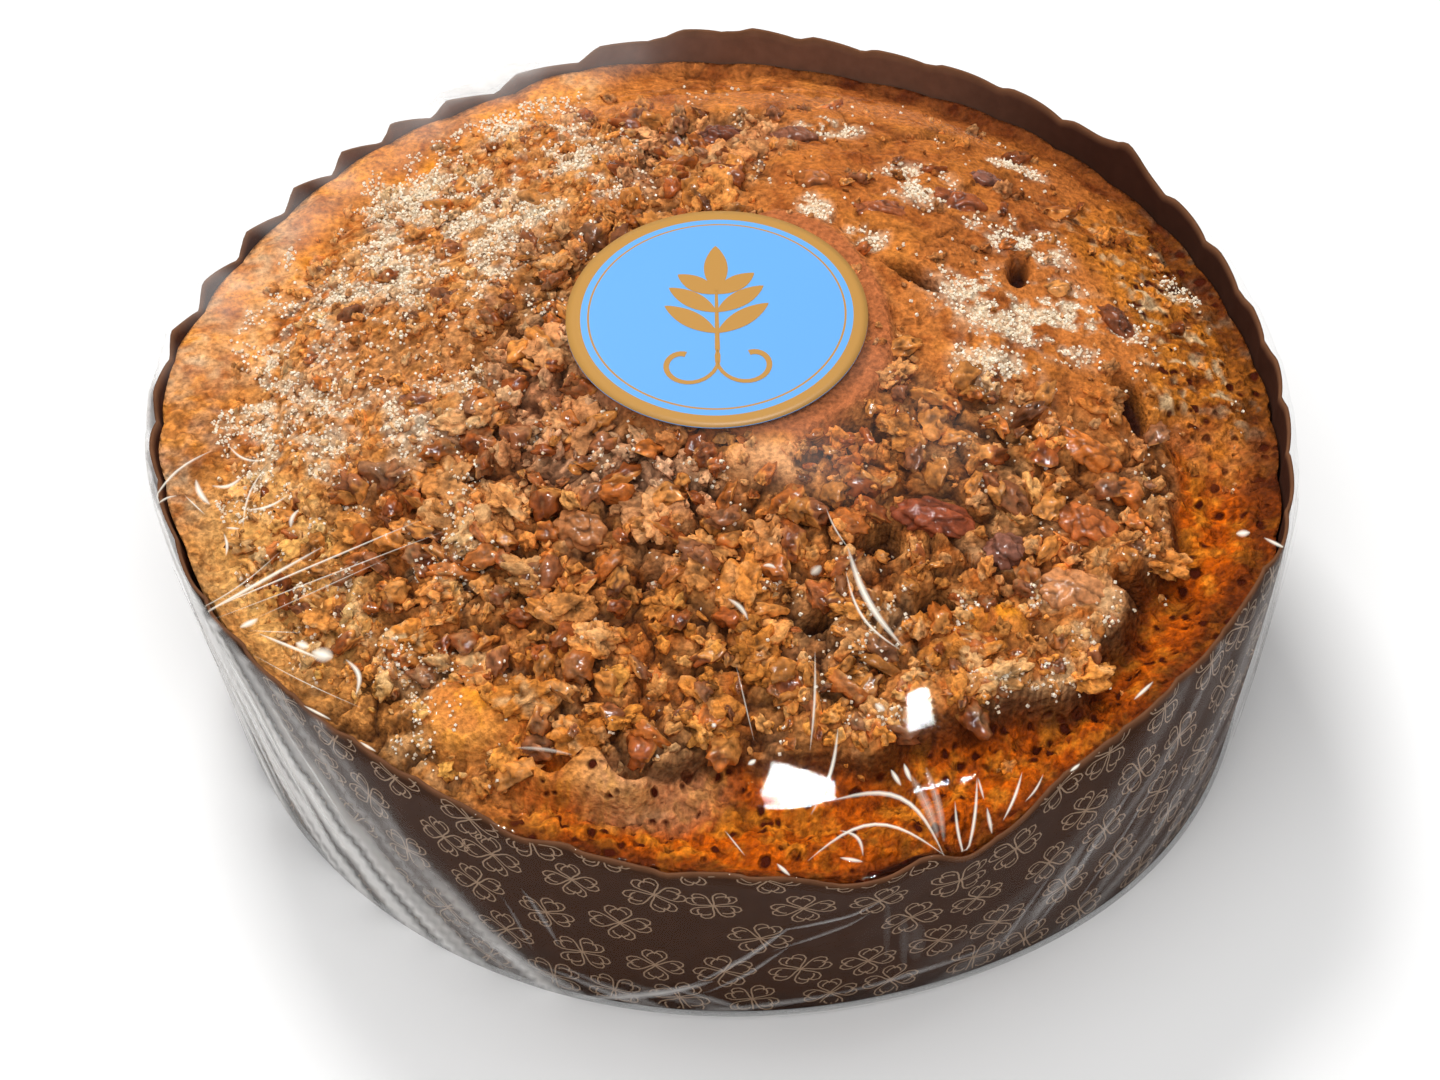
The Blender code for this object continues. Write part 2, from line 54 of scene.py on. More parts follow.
# Paper case, as in the part
CASE_BASE_RADIUS = 92.3
CASE_RIM_RADIUS = 97.3
CASE_RIM_HEIGHT = 51.4
CASE_PAPER = 0.6
FLUTES = 44
FLUTE_DEPTH = 0.9
SCALLOP_HEIGHT = 1.3
RIM_PULLS = (
    (90, 14, 4.2),
    (60, 12, 1.6),
    (16, 14, -1.0),
    (-19, 9, 1.7),
    (-43, 9, -1.0),
    (-80, 13, 4.6),
    (-68, 8, 1.4),
    (-130, 13, -1.2),
    (178, 24, 3.8),
)
RIM_LIFTS = (
    (-81, 13, -4.3),
    (-104, 11, -2.8),
    (-67, 7, -5.2),
    (-92, 60, -1.6),
    (118, 8, -1.4),
    (40, 3, 3.6),
    (-98, 3, -2.2),
    (-86, 3, 2.2),
    (-72.5, 2.5, 3.4),
    (-34, 6, -1.6),
    (-112, 3, -1.6),
    (171, 3, 1.5),
    (-158, 6, -2.4),
    (-29, 4, 1.5),
    (-46, 6, -1.1),
)
FOOT_PULL = (-38, 27, 3.4)

# Film, as in the part
FILM = 0.35
FILM_SHOULDER = 85.0
FILM_RIM_GAP = 0.3
AIR_HOLE_RADIUS = 5.0
FILM_FOLD = (117, 6.5, 3.0)
FILM_RIM_INSET = 0.9
FILM_RIM_DROP = 0.8

# Crown and zones of the cake, as in the part
CROWN_TOP = 69.5
CROWN_EDGE = 47.0
CROWN_RADIUS = 96.5
CROWN_POWER = 2.2
CROWN_PEAK_Y = 12.0
CROWN_CLEARANCE = 0.6
CAKE_EDGE_BELOW_RIM = 3.6
CAKE_SIDE_GAP = 0.6
LEDGE_RADIUS = 78.5
LEDGE_BULGE = 5.0
LEDGE_BULGE_ANGLE = -42.0
LEDGE_DROP = 6.0
LEDGE_START = -80.0
LEDGE_END = -24.0
SHELF_WIDTH = 13.0
SHELF_DEPTH = 0.8
LUMPS = (
    (-43.5, -67.0, 13.0, 7.0, -18),
    (-24.0, -80.0, 17.0, 4.4, -4),
    (6.5, -25.0, 10.0, 5.5, -8),
    (44.0, -53.0, 8.0, 5.0, 20),
)
HOLLOWS = (
    (24.5, -38.5, 5.0, 3.8, 10),
    (22.0, -16.5, 6.0, 2.8, 20),
    (66.5, -42.0, 3.4, 2.2, -30),
    (33.0, -49.5, 3.6, 3.0, 0),
    (-14.0, -45.0, 3.0, 2.2, 40),
    (14.0, -53.0, 5.0, 2.2, 10),
    (67.0, -4.0, 2.6, 3.4, 0),
    (70.0, -3.5, 7.5, 2.6, -75),
    (74.0, -17.0, 3.5, 2.6, 0),
    (33.0, 20.0, 6.5, 2.2, -35),
    (52.0, 25.0, 5.0, 2.2, 80),
)
HOLLOW_DEPTH = 5.0
SUGAR_BEDS = (
    (55.0, 14.0, 23.0, 12.0, -12),
    (47.0, -4.0, 9.0, 12.0, 30),
    (53.0, 34.0, 12.0, 7.0, -30),
    (35.0, 48.0, 9.0, 9.0, 0),
    (25.0, 30.0, 5.0, 5.0, 0),
    (16.0, 37.0, 4.0, 6.0, 0),
    (20.0, 67.0, 8.0, 5.0, 0),
    (54.0, 61.0, 8.0, 3.0, -30),
    (83.0, 31.0, 6.0, 6.0, 0),
)
BARE_LEFT = (-55.0, 9.0, 22.0, 14.0, 0)
LEDGE_SUGAR = (42.0, -56.0, 34.0, 18.0, 30)
BACK_SUGAR = (-4.0, 58.0, 30.0, 18.0, 0)
# Oval at the left front where light is painted on the crust
LEFT_PAINTED_LIGHT = (-76.0, -36.0, 17.0, 30.0, 25)
WALNUTS = (
    (34.3, -34.2, 16.5, 8.0, 6.4, -10),
    (57.6, -45.6, 15.5, 11.0, 7.4, 10),
    (61.0, -32.0, 13.0, 8.4, 5.8, -20),
    (62.3, -16.4, 15.0, 7.0, 5.8, -28),
    (46.2, -39.6, 8.8, 7.4, 5.6, 40),
    (28.5, 38.5, 12.0, 6.6, 5.2, 4),
    (43.0, 45.0, 14.0, 7.0, 5.6, -14),
    (48.5, 54.0, 10.0, 6.8, 5.2, 8),
    (70.0, 17.0, 10.0, 6.4, 5.2, -35),
    (-26.0, -36.0, 10.4, 8.0, 5.8, -30),
    (13.0, 64.5, 11.0, 7.0, 5.4, -10),
    (-1.0, 65.0, 10.0, 6.6, 5.2, 16),
)
WALNUT_LOBES = 0.3
LABEL_RADIUS = 26.3
LABEL_CENTRE = (-2.0, 6.5)
LABEL_THICKNESS = 0.25
FILM_FLOOR = 0.0
CASE_FLOOR = FILM_FLOOR + FILM + GAP
CAKE_FLOOR = CASE_FLOOR + CASE_PAPER + GAP

# Fine detail that only this script adds
TOP_CELLS = 290
CASE_STEPS = FLUTES * 12
NUT_PITCH = 5.0
CLUMP_PITCH = 11.0
GRAIN_COUNT = 14000
GRAINS_ON_TOP = 0.7
FILM_STEPS = 480
CROWN_RINGS = 64
WALL_RINGS = 26
CASE_SHARES = (0.0, 0.15, 0.3, 0.45, 0.6, 0.7, 0.8, 0.9, 0.97, 1.0)
FLOWER_PITCH = 12.4
FLOWER_LINE = 0.3
FLOWER_ROWS = 5
FILM_SHINE = 0.16
FILM_INDEX = 1.45
CREASE_STEPS = 12
CREASE_LIFTS = (0.03, 0.16, 0.03)
BUMP_STRENGTH = 0.8
JOINT_SHADE_DEPTH = 0.34
PIT_REACH = 0.56
FRONT_SHOULDER = 91.0
FRONT_HOLLOW = (26.0, -96.5, 7.5, 3.2, 14)

# Loose crumbs: name, pitch, shortest and longest in millimetres, and subdivisions of their shapes
CRUMB_KINDS = (
    ("crumbs", 2.7, 1.0, 3.2, 2),
    ("coarse_crumbs", 5.6, 2.6, 6.0, 3),
)

# Whitish streaks on the wall, as painted sheen: angle at the rim, lean in degrees and strength; and the
# painted sheen by the label
WALL_SHEEN_STREAKS = (
    (199.0, 26.0, 2.6),
    (-20.0, -34.0, 0.22),
)
SHEEN_BY_LABEL = (14.0, -14.0, 34.0, 20.0, -30)

# Creases of the film on the crown, and painted glints, as the photo shows them in its 1440 by 1080 pixels:
# both ends, how far they bow, width in millimetres and milkiness, which paints their highlights
LEFT_CREASES = (
    (192, 617, 419, 521, 0, 0.5, 0.8),
    (205, 623, 443, 532, 0, 0.35, 0.6),
    (195, 619, 323, 547, 0, 0.9, 0.9),
    (190, 614, 279, 553, 5, 0.4, 0.6),
    (240, 628, 258, 619, 0, 1.5, 1.0),
    (253, 620, 387, 559, 0, 0.3, 0.5),
    (250, 631, 301, 633, 0, 0.3, 0.5),
    (259, 634, 325, 661, 0, 0.8, 0.9),
    (312, 652, 333, 658, 0, 2.8, 1.0),
    (296, 643, 309, 648, 0, 1.8, 1.0),
    (253, 655, 361, 708, 2, 0.3, 0.6),
    (346, 660, 356, 695, -8, 0.9, 1.0),
    (150, 506, 212, 451, -8, 0.6, 0.8),
    (157, 505, 177, 496, -2, 0.6, 0.7),
    (228, 445, 263, 461, 6, 0.6, 0.8),
    (185, 496, 205, 515, 0, 0.4, 0.7),
    (196, 480, 210, 505, 3, 1.2, 1.0),
    (212, 486, 242, 477, 5, 1.0, 0.9),
    (266, 467, 243, 528, 6, 0.5, 0.7),
    (247, 510, 287, 496, 4, 0.7, 0.9),
    (291, 528, 299, 510, -3, 1.0, 0.9),
    (226, 528, 240, 529, 0, 0.6, 0.8),
    (224, 534, 226, 556, -2, 0.6, 0.9),
    (304, 706, 331, 720, 0, 0.8, 0.9),
    (360, 742, 376, 752, 0, 0.8, 0.9),
    (515, 748, 572, 755, -2, 0.7, 0.4),
)
MIDDLE_CREASES = (
    (826, 508, 848, 548, 2, 0.4, 0.6),
    (848, 548, 902, 646, 8, 1.3, 1.0),
    (846, 572, 900, 650, 12, 0.6, 0.9),
    (815, 652, 810, 751, -2, 0.5, 0.7),
    (736, 665, 754, 741, 0, 0.3, 0.45),
    (838, 729, 811, 815, -6, 0.7, 0.9),
    (763, 566, 776, 569, -2, 0.8, 0.9),
    (811, 575, 821, 566, 0, 1.6, 0.6),
    (728, 599, 748, 620, -3, 0.9, 0.8),
    (748, 765, 756, 760, 0, 0.9, 1.0),
    (875, 704, 885, 711, 0, 1.3, 0.9),
    (712, 724, 716, 727, 0, 0.9, 1.0),
)
FRONT_CREASES = (
    (725, 831, 745, 856, 0, 0.4, 0.6),
    (828, 802, 944, 856, -34, 0.9, 0.9),
    (808, 861, 945, 856, -34, 0.7, 0.9),
    (840, 831, 863, 856, -8, 0.7, 0.8),
    (891, 770, 901, 786, 0, 0.9, 1.0),
    (904, 764, 911, 782, 0, 0.9, 1.0),
    (910, 775, 938, 838, -3, 1.8, 0.3),
    (926, 768, 944, 842, -3, 1.4, 0.3),
    (955, 802, 965, 860, 2, 0.6, 0.8),
    (977, 778, 966, 859, -3, 0.6, 0.9),
    (978, 778, 984, 800, 0, 0.5, 0.7),
    (987, 808, 992, 834, 0, 0.7, 0.8),
    (1022, 773, 1003, 821, -2, 0.6, 0.9),
    (1043, 775, 1025, 802, -2, 0.5, 0.7),
    (840, 858, 863, 862, 0, 0.8, 0.9),
    (777, 864, 790, 876, 0, 0.8, 0.9),
    (1134, 700, 1153, 682, 0, 0.9, 0.9),
    (1070, 772, 1080, 764, 0, 0.8, 0.9),
    (1236, 534, 1250, 533, 0, 1.6, 1.0),
    (1264, 538, 1286, 549, 0, 0.8, 0.9),
)

# Long folds of the film over the front of the wall: angle and share of the wall's height
# at both ends, width in millimetres and milkiness, which paints their sheen
WALL_FOLDS = (
    (252.0, 0.03, 267.0, 0.28, 3.2, 0.5),
    (265.0, 0.26, 274.5, 0.67, 1.7, 0.32),
    (273.0, 0.64, 283.0, 0.89, 1.4, 0.3),
    (266.0, 0.19, 274.5, 0.52, 1.3, 0.24),
    (273.0, 0.5, 282.0, 0.8, 1.2, 0.22),
    (264.0, 0.06, 280.0, 0.14, 2.6, 0.26),
    (278.0, 0.14, 296.0, 0.22, 2.4, 0.22),
    (262.0, 0.02, 300.0, 0.03, 2.6, 0.2),
    (248.5, 0.72, 251.5, 0.38, 1.5, 0.18),
    (246.0, 0.6, 248.5, 0.3, 1.1, 0.12),
    (314.0, 0.85, 300.0, 0.12, 1.8, 0.2),
    (318.0, 0.8, 306.0, 0.2, 1.3, 0.18),
)

# Slanting folds on the film's wall: how many, first and last angle, height as a share of the wall,
# lean in degrees and milkiness, which paints their sheen
FOLD_GROUPS = (
    (30, 190.0, 220.0, 1.0, 18.0, 0.6),
    (16, -6.0, -28.0, 1.0, -22.0, 0.09),
    (6, 232.0, 262.0, 0.3, 60.0, 0.2),
    (6, 300.0, 322.0, 0.9, -16.0, 0.14),
    (3, 282.0, 288.0, 1.0, 3.0, 0.06),
)

# Label: radii of its rings, those whose outer band is gold, and how far its face lies off the film
LABEL_RADII = (0.5, 4.0, 8.0, 12.0, 16.0, 20.0, 22.2, 22.55, 23.75, 25.0, LABEL_RADIUS)
GOLD_RINGS = (7, 9, 10)
LABEL_STEPS = 144
LABEL_LIFT = 0.1
PRINT_LIFT = 0.04

# Photographed view
LENS = 92.49
SENSOR_WIDTH = 36.0
PHOTO_WIDTH = 1440
PHOTO_HEIGHT = 1080
VIEW_DISTANCE = 700.0
VIEW_ELEVATION = 47.82
VIEW_ROLL = -1.146
VIEW_TARGET = (-2.218, 16.017, 0.0)
ABOVE_FILM = 75.0
BELOW_CROWN_EDGE = 40.0
SEARCH_STEPS = 30

# Lights, in metres and watts: boxes stand opposite the places on the film that mirror them
BOX_DISTANCE = 1.2
BOXES = (
    ("softbox", 10.8, -84.0, (0.042, 0.115), 6.0),
    ("second softbox", 29.3, -71.0, (0.052, 0.044), 2.2),
)
PANEL_PLACE = (-0.1, -0.62, 1.6)
PANEL_SIZE = (2.4, 2.4)
PANEL_POWER = 33.0
KEY_PLACE = (-0.42, 1.28, 1.48)
KEY_SIZE = (0.6, 0.6)
KEY_POWER = 28.0
WORLD_STRENGTH = 0.16

Zones = namedtuple("Zones", "mound sponge crust sugar rubble")
Grain = namedtuple("Grain", "coarse coarse_value middle middle_value plate plate_value fine rough cracked")

draw = np.random.default_rng(SEED)


def srgb(red, green, blue):
    """Linear light for a colour as it shows on a display, from 0 to 255."""
    shown = np.array((red, green, blue)) / 255.0
    return np.where(shown <= 0.04045, shown / 12.92, ((shown + 0.055) / 1.055) ** 2.4)


SUGAR_CRUST = srgb(236, 196, 146)
SUGAR_PALE = srgb(248, 232, 200)
SUGAR_BED = srgb(232, 212, 180)
SUGAR_DUST = srgb(248, 210, 154)
SUGAR_GRAIN = srgb(255, 246, 226)
SUGAR_SHADE = srgb(236, 212, 178)
CRUMB_TAN = srgb(240, 163, 90)
CRUMB_BROWN = srgb(204, 113, 46)
# Painted shade for the gaps, cracks and hollows of the crust
PAINTED_GAP_SHADE = srgb(54, 22, 10)
NUT_FLESH = srgb(224, 146, 72)
NUT_SKINS = (srgb(200, 110, 44), srgb(168, 86, 36), srgb(156, 92, 54), srgb(216, 136, 62))
WALNUT_COLOURS = (
    srgb(150, 74, 44),
    srgb(210, 140, 88),
    srgb(190, 104, 50),
    srgb(208, 118, 50),
    srgb(138, 88, 70),
    srgb(162, 88, 48),
    srgb(152, 80, 42),
    srgb(134, 84, 66),
    srgb(128, 70, 40),
    srgb(176, 112, 66),
    srgb(134, 82, 58),
    srgb(120, 66, 44),
)
CARAMEL = srgb(202, 120, 56)
CARAMEL_DARK = srgb(150, 76, 30)
SPONGE = srgb(220, 100, 8)
SPONGE_LIGHT = srgb(238, 144, 38)
SPONGE_DARK = srgb(116, 42, 6)
# Painted shade inside the pits
SPONGE_PIT_SHADE = srgb(70, 22, 6)
EDGE_DARK = srgb(96, 40, 14)
BEIGE = srgb(228, 162, 104)
MOUND = srgb(178, 102, 58)
GOLDEN = srgb(226, 140, 58)
ORANGE = srgb(240, 150, 40)
# Golden colour that paints light on the crumbs at the left front
LIT_GOLDEN_CRUMB = srgb(255, 196, 112)
PAPER = srgb(62, 38, 25)
PAPER_EDGE = srgb(108, 72, 50)
PAPER_INSIDE_SHADED = srgb(70, 44, 34)
PAPER_INSIDE_LIT = srgb(112, 80, 64)
PAPER_PRINT = srgb(150, 118, 88)
LABEL_BLUE = srgb(105, 170, 234)
LABEL_GOLD = srgb(186, 138, 70)
FLOOR_WHITE = (0.9, 0.9, 0.9)
# Pale film colours for milkiness and for painted sheen and glints, warm where they mirror the crust
FILM_HAZE_AND_SHEEN = (0.95, 0.93, 0.91)
WARM_HAZE_AND_GLINT = (1.0, 0.93, 0.8)

# Broad areas where the crust is darker, paler or more golden: oval spot, colour and share
TONES = (
    (BARE_LEFT, srgb(206, 126, 56), 0.55),
    ((-31.0, -6.0, 14.0, 24.0, 0), srgb(232, 176, 136), 0.45),
    ((-17.0, -25.0, 20.0, 9.0, -20), srgb(226, 178, 144), 0.55),
    ((38.0, 44.0, 34.0, 24.0, -30), CARAMEL_DARK, 0.4),
    ((61.0, 1.0, 14.0, 10.0, 0), CARAMEL_DARK, 0.35),
    ((-6.0, 62.0, 22.0, 12.0, 0), srgb(232, 178, 134), 0.3),
    ((-14.0, -80.0, 15.0, 9.0, 0), SUGAR_CRUST, 0.36),
    ((-55.0, -71.0, 32.0, 13.0, -35), srgb(250, 172, 88), 0.45),
)


def smoothstep(low, high, value):
    """0 below low, 1 above high, and a smooth rise between them."""
    share = np.clip((value - low) / (high - low), 0.0, 1.0)
    return share * share * (3.0 - 2.0 * share)


def swell(angle, centre, spread):
    """A smooth hump over the angle, in degrees: 1 at its centre and near 0 past twice its spread."""
    away = (angle - centre + 180.0) % 360.0 - 180.0
    return np.exp(-((away / spread) ** 2))


def window(angle, start, end, soft=8.0):
    """1 for angles between start and end, in degrees, with soft ends."""
    middle = (start + end) / 2.0
    away = np.abs((angle - middle + 180.0) % 360.0 - 180.0)
    half = (end - start) / 2.0
    return 1.0 - smoothstep(half - soft, half + soft, away)


def cell_value(column, row, seed):
    """A random number from 0 to 1 for each cell of a grid."""
    mix = column.astype(np.int64) * 374761393
    mix = (mix + row.astype(np.int64) * 668265263 + seed * 1442695041) & 0x7FFFFFFF
    mix = ((mix ^ (mix >> 13)) * 1274126177) & 0x7FFFFFFF
    return ((mix ^ (mix >> 16)) & 0xFFFF) / 65535.0


def noise(x, y, cell, seed):
    """Smooth relief from -1 to 1 whose bumps are about one cell across."""
    u = x / cell
    v = y / cell
    column = np.floor(u)
    row = np.floor(v)
    across = smoothstep(0.0, 1.0, u - column)
    along = smoothstep(0.0, 1.0, v - row)
    near = cell_value(column, row, seed) * (1 - across) + cell_value(column + 1, row, seed) * across
    far = cell_value(column, row + 1, seed) * (1 - across) + cell_value(column + 1, row + 1, seed) * across
    return 2.0 * (near * (1 - along) + far * along) - 1.0


def pebbles(x, y, cell, seed):
    """Domes packed at random: how far inside its dome each point is, and a number for each dome."""
    column = np.floor(x / cell)
    row = np.floor(y / cell)
    nearest = np.full(x.shape, 9.0)
    second = np.full(x.shape, 9.0)
    value = np.zeros(x.shape)
    for right in (-1, 0, 1):
        for up in (-1, 0, 1):
            centre_x = (column + right + 0.1 + 0.8 * cell_value(column + right, row + up, seed)) * cell
            centre_y = (row + up + 0.1 + 0.8 * cell_value(column + right, row + up, seed + 1)) * cell
            away = np.hypot(x - centre_x, y - centre_y) / cell
            closer = away < nearest
            second = np.where(closer, nearest, np.minimum(second, away))
            nearest = np.where(closer, away, nearest)
            value = np.where(closer, cell_value(column + right, row + up, seed + 2), value)
    return 1.0 - np.exp(-5.0 * (second - nearest)), value


def patch(x, y, spot):
    """1 in the middle of an oval spot, falling to 0 at its edge."""
    centre_x, centre_y, half_length, half_width, turn = spot
    cos_turn = math.cos(math.radians(turn))
    sin_turn = math.sin(math.radians(turn))
    along = ((x - centre_x) * cos_turn + (y - centre_y) * sin_turn) / half_length
    across = ((y - centre_y) * cos_turn - (x - centre_x) * sin_turn) / half_width
    return 1.0 - smoothstep(0.45, 1.1, np.hypot(along, across))


def polar(x, y):
    return np.hypot(x, y), np.degrees(np.arctan2(y, x))


def ring(radius, angle, height):
    """Points at the radii, angles in degrees and heights."""
    turn = np.radians(angle)
    level = np.broadcast_to(height, turn.shape)
    return np.column_stack((radius * np.cos(turn), radius * np.sin(turn), level))


def rim_pull(angle):
    return sum(amount * swell(angle, centre, spread) for centre, spread, amount in RIM_PULLS)


def rim_lift(angle):
    return sum(amount * swell(angle, centre, spread) for centre, spread, amount in RIM_LIFTS)


def foot_pull(angle, share):
    """How far the wall bulges at the right, most at its foot and not at all at its rim."""
    centre, spread, amount = FOOT_PULL
    return amount * swell(angle, centre, spread) * (1.0 - share**3)


def flute(angle):
    """0 in the valleys of the flutes and 1 on their backs, with some backs lower than others."""
    turn = angle / 360.0 * FLUTES
    share = np.abs(np.sin(np.pi * turn))
    unevenness = 0.78 + 0.22 * np.sin(np.radians(angle * 5.0 + 40.0)) * np.cos(np.radians(angle * 11.0))
    return share**0.8 * unevenness


def case_radius(angle, share):
    """Outer radius of the paper at a share of the wall's height, 0 at the floor and 1 at the rim."""
    flare = (CASE_RIM_RADIUS - CASE_BASE_RADIUS) * share + foot_pull(angle, share)
    return CASE_BASE_RADIUS + flare + rim_pull(angle) * share**2 + FLUTE_DEPTH * share * flute(angle)


def rim_teeth(angle):
    """How far the paper's edge stands above its even height: slanting teeth, tallest at the back left."""
    uneven = 1.3 * np.sin(np.radians(angle * 5.0)) + 0.9 * np.sin(np.radians(angle * 8.0 + 50.0))
    turn = (angle + uneven) / 360.0 * FLUTES
    phase = turn - np.floor(turn)
    tooth = np.minimum(phase / 0.78, (1.0 - phase) / 0.22)
    return (tooth - 0.5) * (0.9 + 2.6 * window(angle, 106.0, 184.0, 14.0))


def case_rim_height(angle):
    return CASE_FLOOR + CASE_RIM_HEIGHT + 0.6 * SCALLOP_HEIGHT + rim_teeth(angle) + rim_lift(angle)


def film_wall_radius(angle, share):
    """Radius of the film at a share of the wall's height: it is tight over the backs of the flutes."""
    centre, spread, amount = FILM_FOLD
    flare = (CASE_RIM_RADIUS - CASE_BASE_RADIUS) * share + FLUTE_DEPTH * share + foot_pull(angle, share)
    fold = amount * swell(angle, centre, spread) * share**6
    return CASE_BASE_RADIUS + flare + rim_pull(angle) * share**2 + fold + FILM_RIM_GAP + FILM


def film_rim_height(angle):
    """Height of the film over the rim, where it hangs a little between the teeth of the paper."""
    heights = [case_rim_height(angle + 1.5 * step) - 0.8 * abs(step) for step in range(-3, 4)]
    return np.max(heights, axis=0) + FILM_RIM_GAP + FILM


def crown_height(x, y):
    """Height of the dome that the cake has pushed up, a little higher at the back."""
    radius = np.hypot(x, y)
    shift = CROWN_PEAK_Y * (1.0 - (radius / CROWN_RADIUS) ** 2)
    spread = np.hypot(x, y - shift) / CROWN_RADIUS
    return CROWN_EDGE + (CROWN_TOP - CROWN_EDGE) * (1.0 - spread**CROWN_POWER)


def film_height(x, y):
    """Top face of the film: the crown, then a taut run from its shoulder to the rim."""
    radius, angle = polar(x, y)
    turning = FILM_SHOULDER + (FRONT_SHOULDER - FILM_SHOULDER) * window(angle, -142.0, -22.0, 20.0)
    inner = np.minimum(radius, turning) / np.maximum(radius, 0.001)
    shoulder = crown_height(x * inner, y * inner)
    share = np.clip((radius - turning) / (film_wall_radius(angle, 1.0) - turning), 0.0, 1.0)
    return shoulder + (film_rim_height(angle) - shoulder) * share


def film_top(x, y):
    """The film with its slight unevenness, which breaks up what it mirrors."""
    radius = np.hypot(x, y)
    smooth = sum(film_height(x * shift, y * shift) for shift in (0.98, 1.0, 1.02)) / 3.0
    fade = 1.0 - smoothstep(88.0, 97.0, radius)
    height = film_height(x, y) + (smooth - film_height(x, y)) * fade
    wave = 0.14 * noise(x, y, 21.0, 101) + 0.035 * noise(x, y, 8.0, 102)
    return height + wave * fade


def filled(angle):
    """1 round the left and the back left, where the crust has risen right up to the rim."""
    return window(angle, 100.0, 216.0, 12.0)


def risen_height(x, y):
    """The crown, or the film where the crust has risen to it."""
    crown = crown_height(x, y)
    return crown + (film_height(x, y) - crown) * filled(polar(x, y)[1])


def golden_band(x, y):
    """Share of smoother golden crust round the left edge."""
    radius, angle = polar(x, y)
    start = 82.0 + 2.5 * noise(x, y, 8.0, 29)
    return smoothstep(start, start + 5.0, radius) * window(angle, 104.0, 176.0, 8.0)


def ledge_radius(angle):
    """Where the nut crust breaks off, as a ragged line round the front right."""
    ragged = 1.6 * np.sin(np.radians(angle * 13.0)) + 1.1 * np.sin(np.radians(angle * 29.0 + 70.0))
    return LEDGE_RADIUS + LEDGE_BULGE * swell(angle, LEDGE_BULGE_ANGLE, 20.0) + ragged


def past_ledge(radius, angle):
    """0 on the nut crust and 1 outside the line where it breaks off."""
    ledge = ledge_radius(angle)
    return smoothstep(ledge - 2.4, ledge + 1.6, radius)


def zones(x, y):
    """Shares of the top that are mound, bare sponge, smooth crust, sugar crust and loose rubble."""
    radius, angle = polar(x, y)
    ragged = 2.2 * noise(x, y, 11.0, 21)
    from_label = np.hypot(x - LABEL_CENTRE[0], y - LABEL_CENTRE[1]) + ragged
    about_label = np.degrees(np.arctan2(y - LABEL_CENTRE[1], x - LABEL_CENTRE[0]))
    bare_to = LABEL_RADIUS - 3.0 + 6.0 * window(about_label, -78.0, 78.0, 14.0)
    mound = 1.0 - smoothstep(bare_to, bare_to + 3.0, from_label)
    sponge = past_ledge(radius, angle) * window(angle, -118.0, -6.0)
    back = window(angle, -8.0, 84.0) * smoothstep(28.0, 34.0, radius + ragged)
    back_rim = window(angle, -4.0, 108.0) * smoothstep(72.0, 78.0, radius + ragged)
    crust = np.maximum(back, back_rim)
    sugar = window(angle, 108.0, 196.0) * smoothstep(38.0, 50.0, radius + ragged)
    crust = crust * (1 - mound) * (1 - sponge)
    sugar = sugar * (1 - mound) * (1 - sponge) * (1 - crust)
    rubble = 1.0 - mound - sponge - crust - sugar
    return Zones(mound, sponge, crust, sugar, rubble)


def lumps(x, y):
    """How much each point is on one of the smooth lumps of crust."""
    wound_x, wound_y = warped(x, y, 3.0, 6.0, 147)
    return np.max([patch(wound_x, wound_y, lump) for lump in LUMPS], axis=0)


def porous_edge(x, y):
    """Share of open crumb at the right edge, where the crust hasn't sealed."""
    radius, angle = polar(x, y)
    return window(angle, -34.0, 34.0, 10.0) * smoothstep(68.0, 77.0, radius + 3.0 * noise(x, y, 9.0, 145))


def hollows(x, y):
    return np.max([patch(x, y, hollow) for hollow in HOLLOWS], axis=0)


def cake_edge_height(angle):
    """Height of the cake where it meets the paper, always under the paper's rim."""
    under_rim = CASE_FLOOR + CASE_RIM_HEIGHT + rim_lift(angle) - CAKE_EDGE_BELOW_RIM
    at_crown = CROWN_EDGE - 0.6
    nearly_flush = 2.6 * window(angle, -130.0, -50.0, 20.0)
    edge = np.minimum(under_rim + nearly_flush, at_crown)
    return edge + (CASE_FLOOR + CASE_RIM_HEIGHT + rim_lift(angle) - 0.8 - edge) * filled(angle)


def wall_radius(angle, height):
    """Outer radius of the cake at a height, just inside the paper."""
    share = np.clip((height - CASE_FLOOR) / CASE_RIM_HEIGHT, 0.0, 1.0)
    return case_radius(angle, share) - CASE_PAPER - CAKE_SIDE_GAP


def warped(x, y, amount, cell, seed):
    """The points shifted about, so that what is drawn at them loses its regular look."""
    return x + amount * noise(x, y, cell, seed), y + amount * noise(x, y, cell, seed + 1)


def patchy(x, y, cell, seed):
    """Relief from -1 to 1 with broad patches and finer ones on them."""
    broad = noise(x, y, cell, seed) + 0.6 * noise(x, y, cell * 0.42, seed + 1)
    return (broad + 0.45 * noise(x, y, cell * 0.2, seed + 2)) / 1.5


def sugar_bed(x, y):
    """The drifts of sugar at the back right."""
    beds = [patch(x, y, bed) for bed in SUGAR_BEDS]
    return np.max(beds, axis=0) * smoothstep(-0.14, 0.22, patchy(x, y, 4.8, 95))


def pale_sugar(x, y):
    """Share of the left crust that is white with sugar."""
    return smoothstep(-0.35, 0.2, patchy(x, y, 7.0, 85)) * (1.0 - 0.75 * patch(x, y, BARE_LEFT))


def sugar_plenty(x, y):
    """How much sugar was thrown on each place: most at the left, on the ledge and behind the label."""
    places = (smoothstep(-14.0, -50.0, x), patch(x, y, LEDGE_SUGAR), 0.7 * patch(x, y, BACK_SUGAR))
    return 0.36 + 0.64 * np.max(places, axis=0)


def sugar_drift(x, y):
    """Small patches where sugar has caught."""
    return sugar_plenty(x, y) * smoothstep(0.08, 0.42, patchy(x, y, 6.5, 91))


